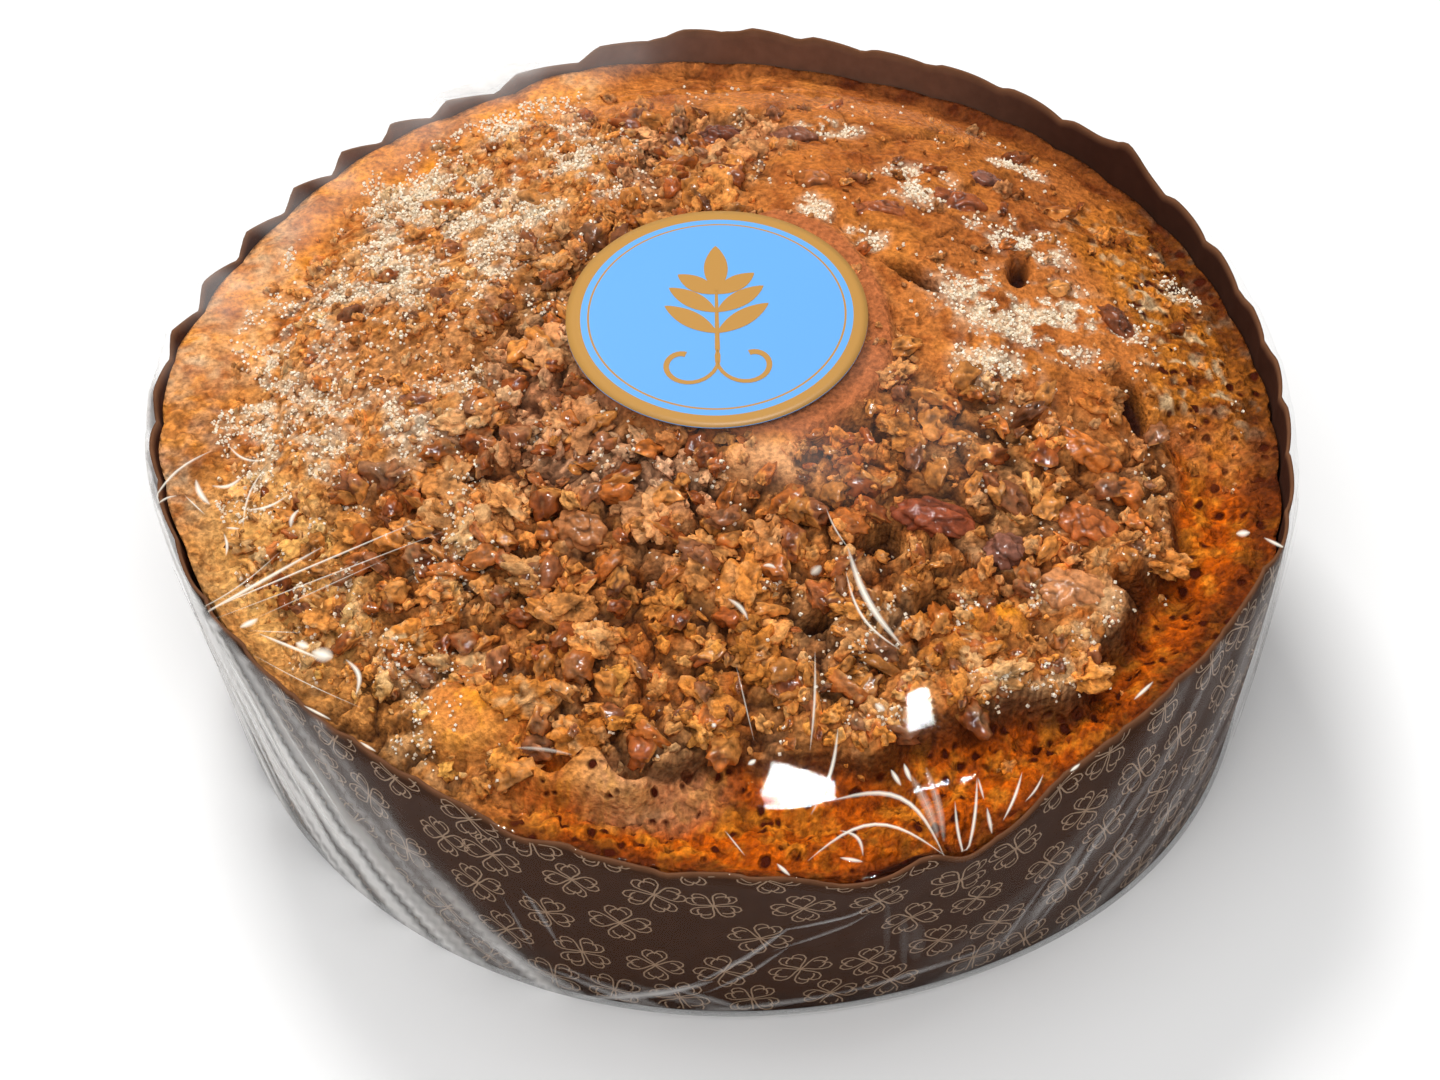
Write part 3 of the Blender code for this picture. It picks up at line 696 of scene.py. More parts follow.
def grain_at(x, y):
    """The domes, plates, cracks and roughness that the relief of the crust is made of."""
    wound = warped(x, y, 1.3, 3.4, 33)
    coarse, coarse_value = pebbles(*wound, 7.5, 41)
    middle, middle_value = pebbles(*wound, 3.3, 51)
    plate, plate_value = pebbles(*warped(x, y, 4.6, 6.0, 35), 10.0, 45)
    fine = pebbles(x, y, 1.6, 61)[0]
    rough = 0.6 * noise(x, y, 3.0, 7) + 0.4 * noise(x, y, 1.4, 8)
    cracked = smoothstep(-0.1, 0.4, noise(x, y, 17.0, 143))
    return Grain(coarse, coarse_value, middle, middle_value, plate, plate_value, fine, rough, cracked)


def shelf_share(x, y):
    """1 on the shelf of nut crust along the ledge at the front right."""
    radius, angle = polar(x, y)
    ledge = ledge_radius(angle)
    shelf = smoothstep(ledge - SHELF_WIDTH, ledge - SHELF_WIDTH * 0.4, radius)
    return shelf * window(angle, LEDGE_START, LEDGE_END)


def rubble_depth(x, y, grain, shelf):
    """Depth of the loose nut crust, which is raised and more even on the shelf."""
    depth = 5.2 - 2.9 * grain.coarse * (0.25 + 0.75 * grain.coarse_value)
    depth = depth - 1.3 * grain.middle * (0.25 + 0.75 * grain.middle_value)
    depth = depth + 0.9 * noise(x, y, 9.5, 4) + 0.6 * grain.rough - 0.3 * grain.fine
    even = SHELF_DEPTH + 0.9 * noise(x, y, 6.0, 6) + 0.9 * (1 - grain.middle) + 0.5 * grain.rough
    return depth + (even - depth) * shelf


def sponge_depth(x, y, grain):
    """Depth of the torn crumb outside the ledge."""
    bare = LEDGE_DROP * (1.0 - smoothstep(85.0, 95.0, np.hypot(x, y)))
    bare = bare + 0.8 * noise(x, y, 5.0, 10) + 0.6 * grain.rough
    torn = 0.9 * (1 - grain.middle) + 1.1 * (1 - grain.coarse) * grain.coarse_value
    return bare + torn + 0.4 * (1 - grain.fine) + 0.5 * grain.rough


def crust_depth(x, y, grain):
    """Depth of the smooth crust, with its plates, its cracks and its porous edge."""
    depth = 1.0 + 0.8 * (1 - grain.plate_value) + 0.9 * grain.cracked * (1 - grain.plate) ** 3
    depth = depth + 0.8 * noise(x, y, 9.0, 2) + 0.5 * grain.rough
    depth = depth + porous_edge(x, y) * (0.9 * (1 - grain.middle) + 0.6 * grain.rough)
    return depth + 0.5 * sugar_bed(x, y)


def sugar_depth(x, y, grain):
    """Depth of the sugared crust at the left."""
    depth = 2.0 + 0.8 * noise(x, y, 8.0, 3) + 0.6 * grain.rough
    return depth - 1.1 * grain.middle * grain.middle_value - 0.4 * grain.fine


def painted_gap_shade(x, y, zone, grain, shelf, smooth):
    """How deep in a gap, in a crack or under the ledge each point is, as the share of painted shade that
    darkens its colour.
    """
    radius, angle = polar(x, y)
    between = 1.0 - grain.middle
    # Painted shadow under the overhanging ledge and down the cliff below it
    under = zone.sponge * (1.0 - smoothstep(0.5, 4.5, radius - ledge_radius(angle)))
    over = past_ledge(radius, angle)
    cliff = smoothstep(0.15, 0.6, 4.0 * over * (1 - over)) * window(angle, -106.0, -16.0)
    gaps = (
        zone.rubble * (1 - smooth) * (1 - 0.7 * shelf) * (1.0 - grain.coarse * (0.3 + 0.7 * grain.middle)),
        zone.crust * grain.cracked * (1.0 - grain.plate) ** 2 * 0.6,
        zone.crust * porous_edge(x, y) * between * 0.5,
        zone.sugar * between * 0.6 * (1 - smooth),
        zone.sponge * between * 0.55,
        0.85 * (under * window(angle, -74.0, -20.0)),
        0.8 * cliff,
    )
    # Less painted shade where light is painted at the left front
    gap = np.max(gaps, axis=0) * (1.0 - 0.8 * patch(x, y, LEFT_PAINTED_LIGHT))
    open_share = 0.6 * zone.sponge + 0.6 * zone.rubble * (1 - smooth)
    return np.maximum(gap, open_share * smoothstep(0.3, 0.75, grain.rough) * 0.7)


def relief(x, y):
    """Depth of the cake's top under the crown, and how deep in a gap each point is, 0 to 1, as the share of
    painted shade on its colour.
    """
    zone = zones(x, y)
    grain = grain_at(x, y)
    shelf = shelf_share(x, y)
    smooth = np.maximum(lumps(x, y), 0.85 * golden_band(x, y))
    depth = zone.mound * (0.5 + 0.4 * noise(x, y, 12.0, 1) + 0.15 * grain.rough)
    depth = depth + zone.sponge * sponge_depth(x, y, grain) + zone.crust * crust_depth(x, y, grain)
    depth = depth + zone.sugar * sugar_depth(x, y, grain) + zone.rubble * rubble_depth(x, y, grain, shelf)
    depth = depth + (0.6 + 0.5 * noise(x, y, 6.0, 9) + 0.15 * grain.rough - depth) * smooth
    # The hollows are dented, and darkened with painted shade as well
    hollow = np.maximum(hollows(x, y), patch(x, y, FRONT_HOLLOW))
    depth = depth + HOLLOW_DEPTH * hollow
    gap = painted_gap_shade(x, y, zone, grain, shelf, smooth)
    return np.maximum(depth, 0.0), np.clip(np.maximum(gap, hollow), 0.0, 1.0)


def top_height(x, y):
    """Height of the cake's top, drawn down to its edge along the paper."""
    radius, angle = polar(x, y)
    depth, gap = relief(x, y)
    height = risen_height(x, y) - depth - CROWN_CLEARANCE - FILM
    edge = cake_edge_height(angle)
    rim = smoothstep(-4.0, 0.0, radius - wall_radius(angle, edge))
    return height + (edge - height) * rim, gap


def blend(colours, share, colour):
    """Moves each colour towards another, or towards each of as many others, by a share from 0 to 1."""
    return colours + (colour - colours) * np.clip(share, 0.0, 1.0)[:, None]


def coated(base, *coats):
    """One colour for every point, then coats of others on it, each with its share at every point."""
    colours = np.tile(base, (len(coats[0][0]), 1))
    for share, colour in coats:
        colours = blend(colours, share, colour)
    return colours


def toned(colours, x, y):
    """The colours, drawn towards those of the broad areas that they are in."""
    for spot, colour, share in TONES:
        colours = blend(colours, share * patch(x, y, spot), colour)
    return colours


def dark_edge(x, y):
    """Share of darker crust along the paper, widest at the right."""
    radius, angle = polar(x, y)
    wide = 3.0 + 5.0 * window(angle, -40.0, 76.0, 14.0) + 1.5 * noise(x, y, 5.0, 139)
    from_paper = CASE_RIM_RADIUS + rim_pull(angle) - 2.0 - radius
    return (1.0 - smoothstep(wide * 0.3, wide, from_paper)) * window(angle, -118.0, 86.0, 10.0)


def crust_colours(x, y, broad, mottle, small, speckle):
    """Caramel crust with drifts of sugar, open and paler at the right edge."""
    porous = porous_edge(x, y)
    return coated(
        CARAMEL,
        (smoothstep(0.45, 0.75, mottle) * 0.8, CARAMEL_DARK),
        (smoothstep(0.5, 0.8, broad) * 0.65, GOLDEN),
        (sugar_bed(x, y) * (0.45 + 0.55 * speckle), SUGAR_BED),
        (smoothstep(60.0, 92.0, 0.8 * x + 0.6 * y) * 0.5, CARAMEL_DARK),
        (porous * (0.3 + 0.5 * small), SPONGE_LIGHT),
        (porous * smoothstep(0.55, 0.8, speckle) * smoothstep(0.3, 0.6, mottle), SUGAR_CRUST),
        (porous * smoothstep(0.45, 0.2, small) * 0.7, SPONGE_DARK),
    )


def top_colours(x, y, gap):
    """Colour of the crust at each point, from its zone and its relief, with painted light at the left front
    and painted shade in its gaps.
    """
    zone = zones(x, y)
    radius, angle = polar(x, y)
    broad = 0.5 + 0.5 * patchy(x, y, 14.0, 71)
    mottle = 0.5 + 0.5 * patchy(x, y, 5.0, 75)
    small = 0.5 + 0.5 * patchy(x, y, 3.0, 77)
    speckle = 0.5 + 0.5 * noise(x, y, 1.4, 79)
    sugared = coated(
        CRUMB_TAN,
        (smoothstep(0.5, 0.75, small), CRUMB_BROWN),
        (smoothstep(0.55, 0.8, mottle) * 0.7, GOLDEN),
        (pale_sugar(x, y) * (0.25 + 0.7 * speckle), SUGAR_PALE),
    )
    bare = coated(
        SPONGE,
        (smoothstep(0.4, 0.8, small) * 0.8, SPONGE_LIGHT),
        (smoothstep(0.55, 0.2, mottle) * 0.3, SPONGE_DARK),
        (smoothstep(0.45, 0.2, speckle) * 0.5, SPONGE_DARK),
    )
    lump = coated(
        GOLDEN,
        (smoothstep(0.45, 0.75, mottle), CRUMB_BROWN),
        (smoothstep(0.5, 0.75, small), ORANGE),
    )
    golden = coated(
        GOLDEN,
        (smoothstep(0.55, 0.8, mottle) * 0.8, ORANGE),
        (smoothstep(0.55, 0.25, mottle) * 0.6, CARAMEL_DARK),
        (smoothstep(0.5, 0.75, broad) * speckle * 0.7, SUGAR_CRUST),
        (smoothstep(0.62, 0.8, small) * 0.5, CARAMEL_DARK),
    )
    toasted = smoothstep(81.0, 89.0, radius + 2.0 * noise(x, y, 6.0, 157)) * window(angle, 160.0, 205.0)
    colours = coated(
        CRUMB_BROWN,
        (1.5 * mottle - 0.3, CRUMB_TAN),
        (sugar_drift(x, y) * (0.3 + 0.6 * speckle), SUGAR_CRUST),
        (zone.crust, crust_colours(x, y, broad, mottle, small, speckle)),
        (zone.sugar, sugared),
        (zone.sponge, bare),
        (zone.mound, MOUND),
        (lumps(x, y), lump),
        (patch(x, y, LUMPS[2]), BEIGE),
        (np.maximum(golden_band(x, y) * 0.9, toasted * 0.75), golden),
        # Painted light: the left front is drawn towards a lit golden colour
        (patch(x, y, LEFT_PAINTED_LIGHT) * (0.45 + 0.4 * speckle), LIT_GOLDEN_CRUMB),
    )
    colours = blend(toned(colours, x, y), dark_edge(x, y) * (0.5 + 0.5 * mottle), EDGE_DARK)
    # Painted shade in the gaps, cracks and hollows
    return blend(colours, gap, PAINTED_GAP_SHADE)


def new_material(name):
    made = bpy.data.materials.new(name)
    made.use_nodes = True
    return made, made.node_tree, made.node_tree.nodes["Principled BSDF"]


def add_node(tree, kind, inputs=(), **settings):
    """A shader node of the kind, with its settings and the values of its inputs."""
    node = tree.nodes.new(f"ShaderNode{kind}")
    for setting, value in settings.items():
        setattr(node, setting, value)
    for socket, value in dict(inputs).items():
        node.inputs[socket].default_value = value
    return node


def join(tree, *pairs):
    """Links the first socket of each pair to the second."""
    for source, target in pairs:
        tree.links.new(source, target)


def feeding(socket):
    """The socket that a socket reads."""
    return socket.links[0].from_socket


def add_bump(tree, shader, size, distance):
    """Fine random relief of about the given size in millimetres, and the nodes that more can join."""
    place = add_node(tree, "NewGeometry")
    grain = add_node(tree, "TexNoise", {"Scale": 1.0 / (size * MM), "Detail": 3.0})
    bump = add_node(tree, "Bump", {"Strength": BUMP_STRENGTH, "Distance": distance * MM})
    join(
        tree,
        (place.outputs["Position"], grain.inputs["Vector"]),
        (grain.outputs["Fac"], bump.inputs["Height"]),
        (bump.outputs["Normal"], shader.inputs["Normal"]),
    )
    return grain, bump


def add_shade(tree, shader, grain, low, high):
    """Takes the base colour from the mesh and varies its brightness with the fine relief."""
    shade = add_node(tree, "Attribute", attribute_name="shade")
    spread = add_node(tree, "MapRange", {"From Min": 0.3, "From Max": 0.7, "To Min": low, "To Max": high})
    mix = add_node(tree, "VectorMath", operation="SCALE")
    join(
        tree,
        (grain.outputs["Fac"], spread.inputs["Value"]),
        (shade.outputs["Color"], mix.inputs[0]),
        (spread.outputs["Result"], mix.inputs["Scale"]),
        (mix.outputs["Vector"], shader.inputs["Base Color"]),
    )


def add_cells(tree, size):
    """Cells of about the given size in millimetres, drawn at shifted places so that they are ragged."""
    place = add_node(tree, "NewGeometry")
    sway = add_node(tree, "TexNoise", {"Scale": 1.0 / (size * 1.6 * MM)})
    shift = add_node(tree, "VectorMath", operation="MULTIPLY_ADD")
    shift.inputs[1].default_value = (size * MM, size * MM, size * MM)
    cells = add_node(tree, "TexVoronoi", {"Scale": 1.0 / (size * MM)})
    join(
        tree,
        (place.outputs["Position"], sway.inputs["Vector"]),
        (sway.outputs["Color"], shift.inputs[0]),
        (place.outputs["Position"], shift.inputs[2]),
        (shift.outputs["Vector"], cells.inputs["Vector"]),
    )
    return cells


def add_masked(tree, value, mask):
    """The value where a mask on the mesh is 1, and nothing where it is 0."""
    share = add_node(tree, "Math", operation="MULTIPLY")
    painted = add_node(tree, "Attribute", attribute_name=mask)
    join(tree, (value, share.inputs[0]), (painted.outputs["Fac"], share.inputs[1]))
    return share.outputs["Value"]


def change_bump(tree, bump, operation, amount):
    """Adds an amount to the height that the bump reads, or subtracts it."""
    level = add_node(tree, "Math", operation=operation)
    join(
        tree,
        (feeding(bump.inputs["Height"]), level.inputs[0]),
        (amount, level.inputs[1]),
        (level.outputs["Value"], bump.inputs["Height"]),
    )


def add_pits(tree, shader, bump, size):
    """Round pits of about the given spacing in millimetres, darkened inside with painted shade, where the
    mesh says that there are any.
    """
    cells = add_cells(tree, size)
    luck = add_node(tree, "SeparateColor")
    reach = add_node(tree, "MapRange", {"From Min": 0.15, "To Min": 0.0, "To Max": PIT_REACH})
    inside = add_node(tree, "Math", operation="SUBTRACT")
    soft = add_node(tree, "MapRange", {"From Max": 0.2})
    share = add_masked(tree, soft.outputs["Result"], "pits")
    dark = add_node(tree, "Mix", data_type="RGBA")
    dark.inputs[7].default_value = (*SPONGE_PIT_SHADE, 1.0)
    join(
        tree,
        (cells.outputs["Color"], luck.inputs["Color"]),
        (luck.outputs["Red"], reach.inputs["Value"]),
        (reach.outputs["Result"], inside.inputs[0]),
        (cells.outputs["Distance"], inside.inputs[1]),
        (inside.outputs["Value"], soft.inputs["Value"]),
        (share, dark.inputs[0]),
        (feeding(shader.inputs["Base Color"]), dark.inputs[6]),
        (dark.outputs[2], shader.inputs["Base Color"]),
    )
    change_bump(tree, bump, "SUBTRACT", share)


def add_crumb(tree, shader, bump, size, masked):
    """Granules of about the given size in millimetres, darker with painted shade in the joints between
    them.
    """
    cells = add_cells(tree, size)
    joint = add_node(tree, "MapRange", {"From Min": 0.3, "From Max": 0.75, "To Max": JOINT_SHADE_DEPTH})
    share = joint.outputs["Result"]
    if masked:
        share = add_masked(tree, share, "granules")
    light = add_node(tree, "Math", {0: 1.0}, operation="SUBTRACT")
    dim = add_node(tree, "VectorMath", operation="SCALE")
    join(
        tree,
        (cells.outputs["Distance"], joint.inputs["Value"]),
        (share, light.inputs[1]),
        (feeding(shader.inputs["Base Color"]), dim.inputs[0]),
        (light.outputs["Value"], dim.inputs["Scale"]),
        (dim.outputs["Vector"], shader.inputs["Base Color"]),
    )
    change_bump(tree, bump, "ADD", light.outputs["Value"])


def baked_material(name, roughness, size, distance, low=0.75, high=1.2, crumb=0.0, pits=0.0, shine=0.15):
    """A baked surface that takes its colour from the mesh, with fine relief, granules and pits, which get
    painted shade in their joints and hollows.
    """
    made, tree, shader = new_material(name)
    shader.inputs["Roughness"].default_value = roughness
    shader.inputs["Specular IOR Level"].default_value = shine
    grain, bump = add_bump(tree, shader, size, distance)
    add_shade(tree, shader, grain, low, high)
    if crumb:
        add_crumb(tree, shader, bump, crumb, pits > 0.0)
    if pits:
        add_pits(tree, shader, bump, pits)
    return made


def plain_material(name, colour, roughness):
    made, _, shader = new_material(name)
    shader.inputs["Base Color"].default_value = (*colour, 1.0)
    shader.inputs["Roughness"].default_value = roughness
    return made


def add_object(name, data):
    """A new object in the scene."""
    made = bpy.data.objects.new(name, data)
    bpy.context.scene.collection.objects.link(made)
    return made


def mesh_piece(name, points, faces, finishes, slot, nodes=(), colours=None, face_finish=None):
    """A mesh from points in millimetres that rides on the part and stands for its nodes."""
    mesh = bpy.data.meshes.new(name)
    moved = (np.asarray(points) + np.array((BASE_CENTRE_X, 0.0, 0.0))) * MM
    mesh.from_pydata(moved.tolist(), [], [list(face) for face in faces])
    for finish in finishes:
        mesh.materials.append(finish)
    if face_finish is not None:
        mesh.polygons.foreach_set("material_index", np.asarray(face_finish, np.int32))
    if colours is not None:
        shade = mesh.color_attributes.new("shade", "FLOAT_COLOR", "POINT")
        full = np.column_stack((colours, np.ones(len(colours))))
        shade.data.foreach_set("color", full.astype(np.float32).ravel())
    mesh.shade_smooth()
    made = add_object(name, mesh)
    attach(made, "root")
    if nodes:
        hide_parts(*nodes)
    return made


def disc_grid(cells):
    """Unit disc as a bent square grid: radii, angles in degrees, quads and the border in turn."""
    side = np.linspace(-1.0, 1.0, cells + 1)
    u, v = np.meshgrid(side, side)
    wide = np.abs(u) >= np.abs(v)
    major = np.where(wide, u, v)
    minor = np.where(wide, v, u)
    bend = 45.0 * minor / np.where(major == 0.0, 1.0, major)
    turn = np.where(wide, bend, 90.0 - bend)
    turn = np.where(major < 0.0, turn + 180.0, turn)
    index = np.arange((cells + 1) ** 2).reshape(cells + 1, cells + 1)
    corners = (index[:-1, :-1], index[:-1, 1:], index[1:, 1:], index[1:, :-1])
    quads = np.stack(corners, axis=-1).reshape(-1, 4)
    border = np.concatenate((index[0, :-1], index[:-1, -1], index[-1, :0:-1], index[:0:-1, 0]))
    return np.abs(major).ravel(), turn.ravel(), quads, border


def paint_masks(made, x, y):
    """Tells the crust's material where the top, which is at x, y, has pits and where it is granular, the
    places that get painted shade.
    """
    zone = zones(x, y)
    porous = porous_edge(x, y)
    smooth = np.maximum(lumps(x, y), golden_band(x, y))
    pits = zone.sponge + zone.crust * (0.3 + 0.7 * porous) + 0.1 * lumps(x, y)
    granules = zone.rubble + zone.sugar + zone.sponge + zone.crust * (0.4 + 0.6 * porous)
    for mask, values in (("pits", pits), ("granules", granules * (1 - 0.8 * smooth))):
        whole = np.ones(len(made.data.vertices), np.float32)
        whole[: len(x)] = values
        attribute = made.data.attributes.new(mask, "FLOAT", "POINT")
        attribute.data.foreach_set("value", whole)


def build_cake():
    """Crust with all its relief, closed by a side and a floor inside the paper."""
    share, angle, quads, border = disc_grid(TOP_CELLS)
    edge_height = cake_edge_height(angle)
    radius = share * wall_radius(angle, edge_height)
    x = radius * np.cos(np.radians(angle))
    y = radius * np.sin(np.radians(angle))
    height, gap = top_height(x, y)
    top = np.column_stack((x, y, height))
    turn = angle[border]
    count = len(border)
    levels = (edge_height[border] * 0.5, np.full(count, CAKE_FLOOR))
    points = np.vstack([top] + [ring(wall_radius(turn, level), turn, level) for level in levels])
    step = len(top) + np.arange(count)
    upper = np.column_stack((border, np.roll(border, -1), np.roll(step, -1), step))[:, ::-1]
    lower = (len(top) + ring_faces(2, count))[:, ::-1]
    floor = list(range(len(top) + 2 * count - 1, len(top) + count - 1, -1))
    faces = [*quads.tolist(), *upper.tolist(), *lower.tolist(), floor]
    colours = np.vstack((top_colours(x, y, gap), np.tile(SPONGE, (2 * count, 1))))
    finish = baked_material("baked crust", 0.6, 0.9, 0.8, 0.62, 1.38, crumb=1.3, pits=2.5, shine=0.07)
    made = mesh_piece("cake_crust", points, faces, [finish], "crust", ["cake"], colours)
    paint_masks(made, x, y)
    return top


def unit_sphere(subdivisions):
    shape = bmesh.new()
    bmesh.ops.create_icosphere(shape, subdivisions=subdivisions, radius=1.0)
    shape.verts.ensure_lookup_table()
    points = np.array([vertex.co for vertex in shape.verts])
    faces = np.array([[vertex.index for vertex in face.verts] for face in shape.faces])
    shape.free()
    return points, faces


def rough_shape(subdivisions, seed, roughness, cuts):
    """A lump of about unit radius with dents and flat broken faces, where the faces are broken, and how
    much painted shade lies in the dents.
    """
    points, faces = unit_sphere(subdivisions)
    luck = random.Random(seed)
    shift = Vector((luck.uniform(0, 40), luck.uniform(0, 40), luck.uniform(0, 40)))
    wave = np.array([space_noise.fractal(Vector(point) * 1.5 + shift, 0.7, 2.1, 4) for point in points])
    points = points * np.clip(1.0 + roughness * wave, 0.35, 1.5)[:, None]
    dent_shade = smoothstep(0.0, -0.3, wave)
    broken = np.zeros(len(points))
    for _ in range(cuts):
        normal = np.array([luck.gauss(0, 1), luck.gauss(0, 1), luck.gauss(0, 1)])
        normal = normal / np.linalg.norm(normal)
        over = points @ normal - luck.uniform(0.3, 0.7)
        points = points - np.clip(over, 0.0, None)[:, None] * normal
        broken = np.where(over > 0.0, 1.0, broken)
    return points, faces, broken, dent_shade


def scattered_places(pitch, reach, likely_at, clearance):
    """Places on a jittered grid, kept by chance and clear of the large walnuts."""
    x, y = jittered_places(pitch, reach)
    keep = draw.random(len(x)) < likely_at(x, y)
    keep &= clear_of_walnuts(x, y, clearance)
    return x[keep], y[keep]


def lump_sizes(length, wide, thick):
    """Length, width and thickness of each lump, the last two as random shares of the first."""
    count = len(length)
    width = length * draw.uniform(*wide, count)
    return np.column_stack((length, width, length * draw.uniform(*thick, count)))


def random_turns(count, tilt):
    """Rotation matrices: any turn about Z and then a random lean of up to the tilt, in radians."""
    spin = draw.uniform(0.0, 2.0 * np.pi, count)
    lean_x = draw.uniform(-tilt, tilt, count)
    lean_y = draw.uniform(-tilt, tilt, count)
    turns = []
    for index in range(count):
        lean = Matrix.Rotation(lean_x[index], 3, "X") @ Matrix.Rotation(lean_y[index], 3, "Y")
        turns.append(np.array(lean @ Matrix.Rotation(spin[index], 3, "Z")))
    return turns


def scatter(shapes, centres, sizes, turns, colours, broken_colours, sugary):
    """Copies of the shapes at the centres as one set of points, faces and colours, more or less sugary."""
    points = []
    faces = []
    shades = []
    start = 0
    for index, centre in enumerate(centres):
        shape, shape_faces, broken, dent_shade = shapes[index % len(shapes)]
        turned = (shape * (sizes[index] * 0.5)) @ turns[index].T
        points.append(turned + centre)
        faces.append(shape_faces + start)
        shade = colours[index] + (broken_colours[index] - colours[index]) * broken[:, None]
        # Painted shade: the dents are darkened
        shade = shade * (1.0 - 0.6 * dent_shade)[:, None]
        upper = smoothstep(0.0, 0.4, turned[:, 2] / sizes[index].max())
        shades.append(blend(shade, upper * 1.2 * sugary * sugar_drift(centre[0], centre[1]), SUGAR_DUST))
        start += len(shape)
    points = np.vstack(points)
    across = points[:, 0] + 0.7 * points[:, 2]
    along = points[:, 1] - 0.5 * points[:, 2]
    mottled = np.vstack(shades) * (1.0 + 0.3 * patchy(across, along, 4.0, 151))[:, None]
    caught = 1.5 * sugary * sugar_plenty(points[:, 0], points[:, 1])
    mottled = blend(mottled, caught * smoothstep(0.2, 0.5, patchy(across, along, 3.0, 155)), SUGAR_DUST)
    return points, np.vstack(faces), mottled


def scatter_piece(name, slot, finish, shapes, centres, sizes, tilt, colours, broken_colours, sugary):
    """One piece of lumps of the shapes at the centres, each turned at random, and its points."""
    turns = random_turns(len(centres), tilt)
    points, faces, shades = scatter(shapes, centres, sizes, turns, colours, broken_colours, sugary)
    mesh_piece(name, points, faces, [finish], slot, (), shades)
    return points


def jittered_places(pitch, reach):
    """Points on a jittered grid inside the reach, in millimetres."""
    count = int(reach / pitch) + 1
    column, row = np.meshgrid(np.arange(-count, count + 1), np.arange(-count, count + 1))
    x = (column + 0.5 * (row % 2) + draw.uniform(-0.45, 0.45, column.shape)) * pitch
    y = (row * 0.87 + draw.uniform(-0.45, 0.45, column.shape)) * pitch
    inside = np.hypot(x, y) < reach
    return x[inside], y[inside]


def clear_of_walnuts(x, y, reach):
    clear = np.ones(len(x), bool)
    for walnut in WALNUTS:
        clear &= np.hypot(x - walnut[0], y - walnut[1]) > walnut[2] * 0.36 + reach
    return clear


def under_film(x, y, height):
    """The heights, kept low enough to stay under the film."""
    return np.minimum(height, film_height(x, y) - FILM - 0.15)


def crumb_colours(x, y, count):
    """Tan, golden, sugary and brown crumbs, nearly as coloured as the crust that they lie on, with painted
    light that makes those at the front more orange.
    """
    drift = 0.5 + 0.5 * patchy(x, y, 16.0, 111)
    colours = blend(np.tile(CRUMB_BROWN, (count, 1)), 1.6 * draw.random(count), CRUMB_TAN)
    colours = blend(colours, (draw.random(count) < drift).astype(float) * 0.7, GOLDEN)
    colours = blend(colours, (draw.random(count) < 0.3 * (1 - drift)).astype(float) * 0.5, SUGAR_CRUST)
    colours = 0.5 * colours + 0.5 * top_colours(x, y, np.zeros(count))
    # Painted light: crumbs towards the front are drawn towards orange, as if more light fell there
    colours = toned(blend(colours, 0.32 * smoothstep(-35.0, -62.0, y), ORANGE), x, y)
    return np.minimum(colours * draw.uniform(0.8, 1.32, count)[:, None], 0.95)


def crumb_likelihood(x, y):
    """How likely a loose crumb is: thick over the rubble and the sugared crust, and few elsewhere."""
    zone = zones(x, y)
    gap = relief(x, y)[1]
    likely = 0.95 * zone.rubble + 0.6 * zone.sugar + 0.12 * zone.crust + 0.1 * zone.mound
    likely = (likely + 0.04 * zone.sponge) * (1.0 - 0.9 * smoothstep(0.35, 0.75, gap))
    return likely * (1.0 - 0.85 * lumps(x, y)) * (1.0 - hollows(x, y)) * (1.0 - 0.75 * golden_band(x, y))


def build_crumbs(name, pitch, shortest, longest, subdivisions):
    """Loose crumbs of crust in a range of lengths."""
    x, y = scattered_places(pitch, 90.0, crumb_likelihood, 0.5)
    zone = zones(x, y)
    loose = zone.rubble + 0.3 * zone.sugar
    count = len(x)
    length = shortest + (longest - shortest) * draw.random(count) ** 1.5 * (0.4 + 0.6 * loose)
    sizes = lump_sizes(length, (0.6, 0.95), (0.5, 0.85))
    lift = draw.uniform(-0.5, 0.5, count) * loose
    middle = under_film(x, y, top_height(x, y)[0] + lift + length * 0.6) - length * 0.5
    centres = np.column_stack((x, y, middle))
    colours = crumb_colours(x, y, count)
    shapes = [rough_shape(subdivisions, 200 + index, 0.85, 1) for index in range(16)]
    finish = baked_material(name, 0.7, 0.7, 0.4, crumb=0.9, high=1.3)
    return scatter_piece(name, "crust", finish, shapes, centres, sizes, 1.2, colours, colours * 1.1, 0.28)


def clump_likelihood(x, y):
    return 0.7 * zones(x, y).rubble * (1.0 - lumps(x, y)) * (1.0 - hollows(x, y))


def build_clumps():
    """Larger clumps of sugared crust among the crumbs."""
    x, y = scattered_places(CLUMP_PITCH, 84.0, clump_likelihood, 4.5)
    count = len(x)
    length = draw.uniform(6.0, 11.5, count)
    sizes = lump_sizes(length, (0.6, 0.9), (0.35, 0.5))
    height = crown_height(x, y) - CROWN_CLEARANCE - FILM - draw.uniform(0.1, 1.9, count)
    centres = np.column_stack((x, y, height - sizes[:, 2] * 0.5))
    colours = blend(crumb_colours(x, y, count), np.full(count, 0.4), GOLDEN)
    shapes = [rough_shape(4, 300 + index, 0.85, 0) for index in range(12)]
    finish = baked_material("clump", 0.66, 0.8, 0.6, crumb=1.3, high=1.3)
    return scatter_piece("clumps", "crust", finish, shapes, centres, sizes, 0.25, colours, colours, 0.36)


def nut_likelihood(x, y):
    """How likely chopped walnut is: most in the rubble, richer in some parts of it."""
    zone = zones(x, y)
    rich = 0.5 + 0.5 * noise(x, y, 17.0, 81)
    likely = zone.rubble * (0.62 + 0.38 * rich) + 0.16 * zone.sugar + 0.08 * zone.crust
    return likely * (1.0 - 0.9 * lumps(x, y)) * (1.0 - hollows(x, y))


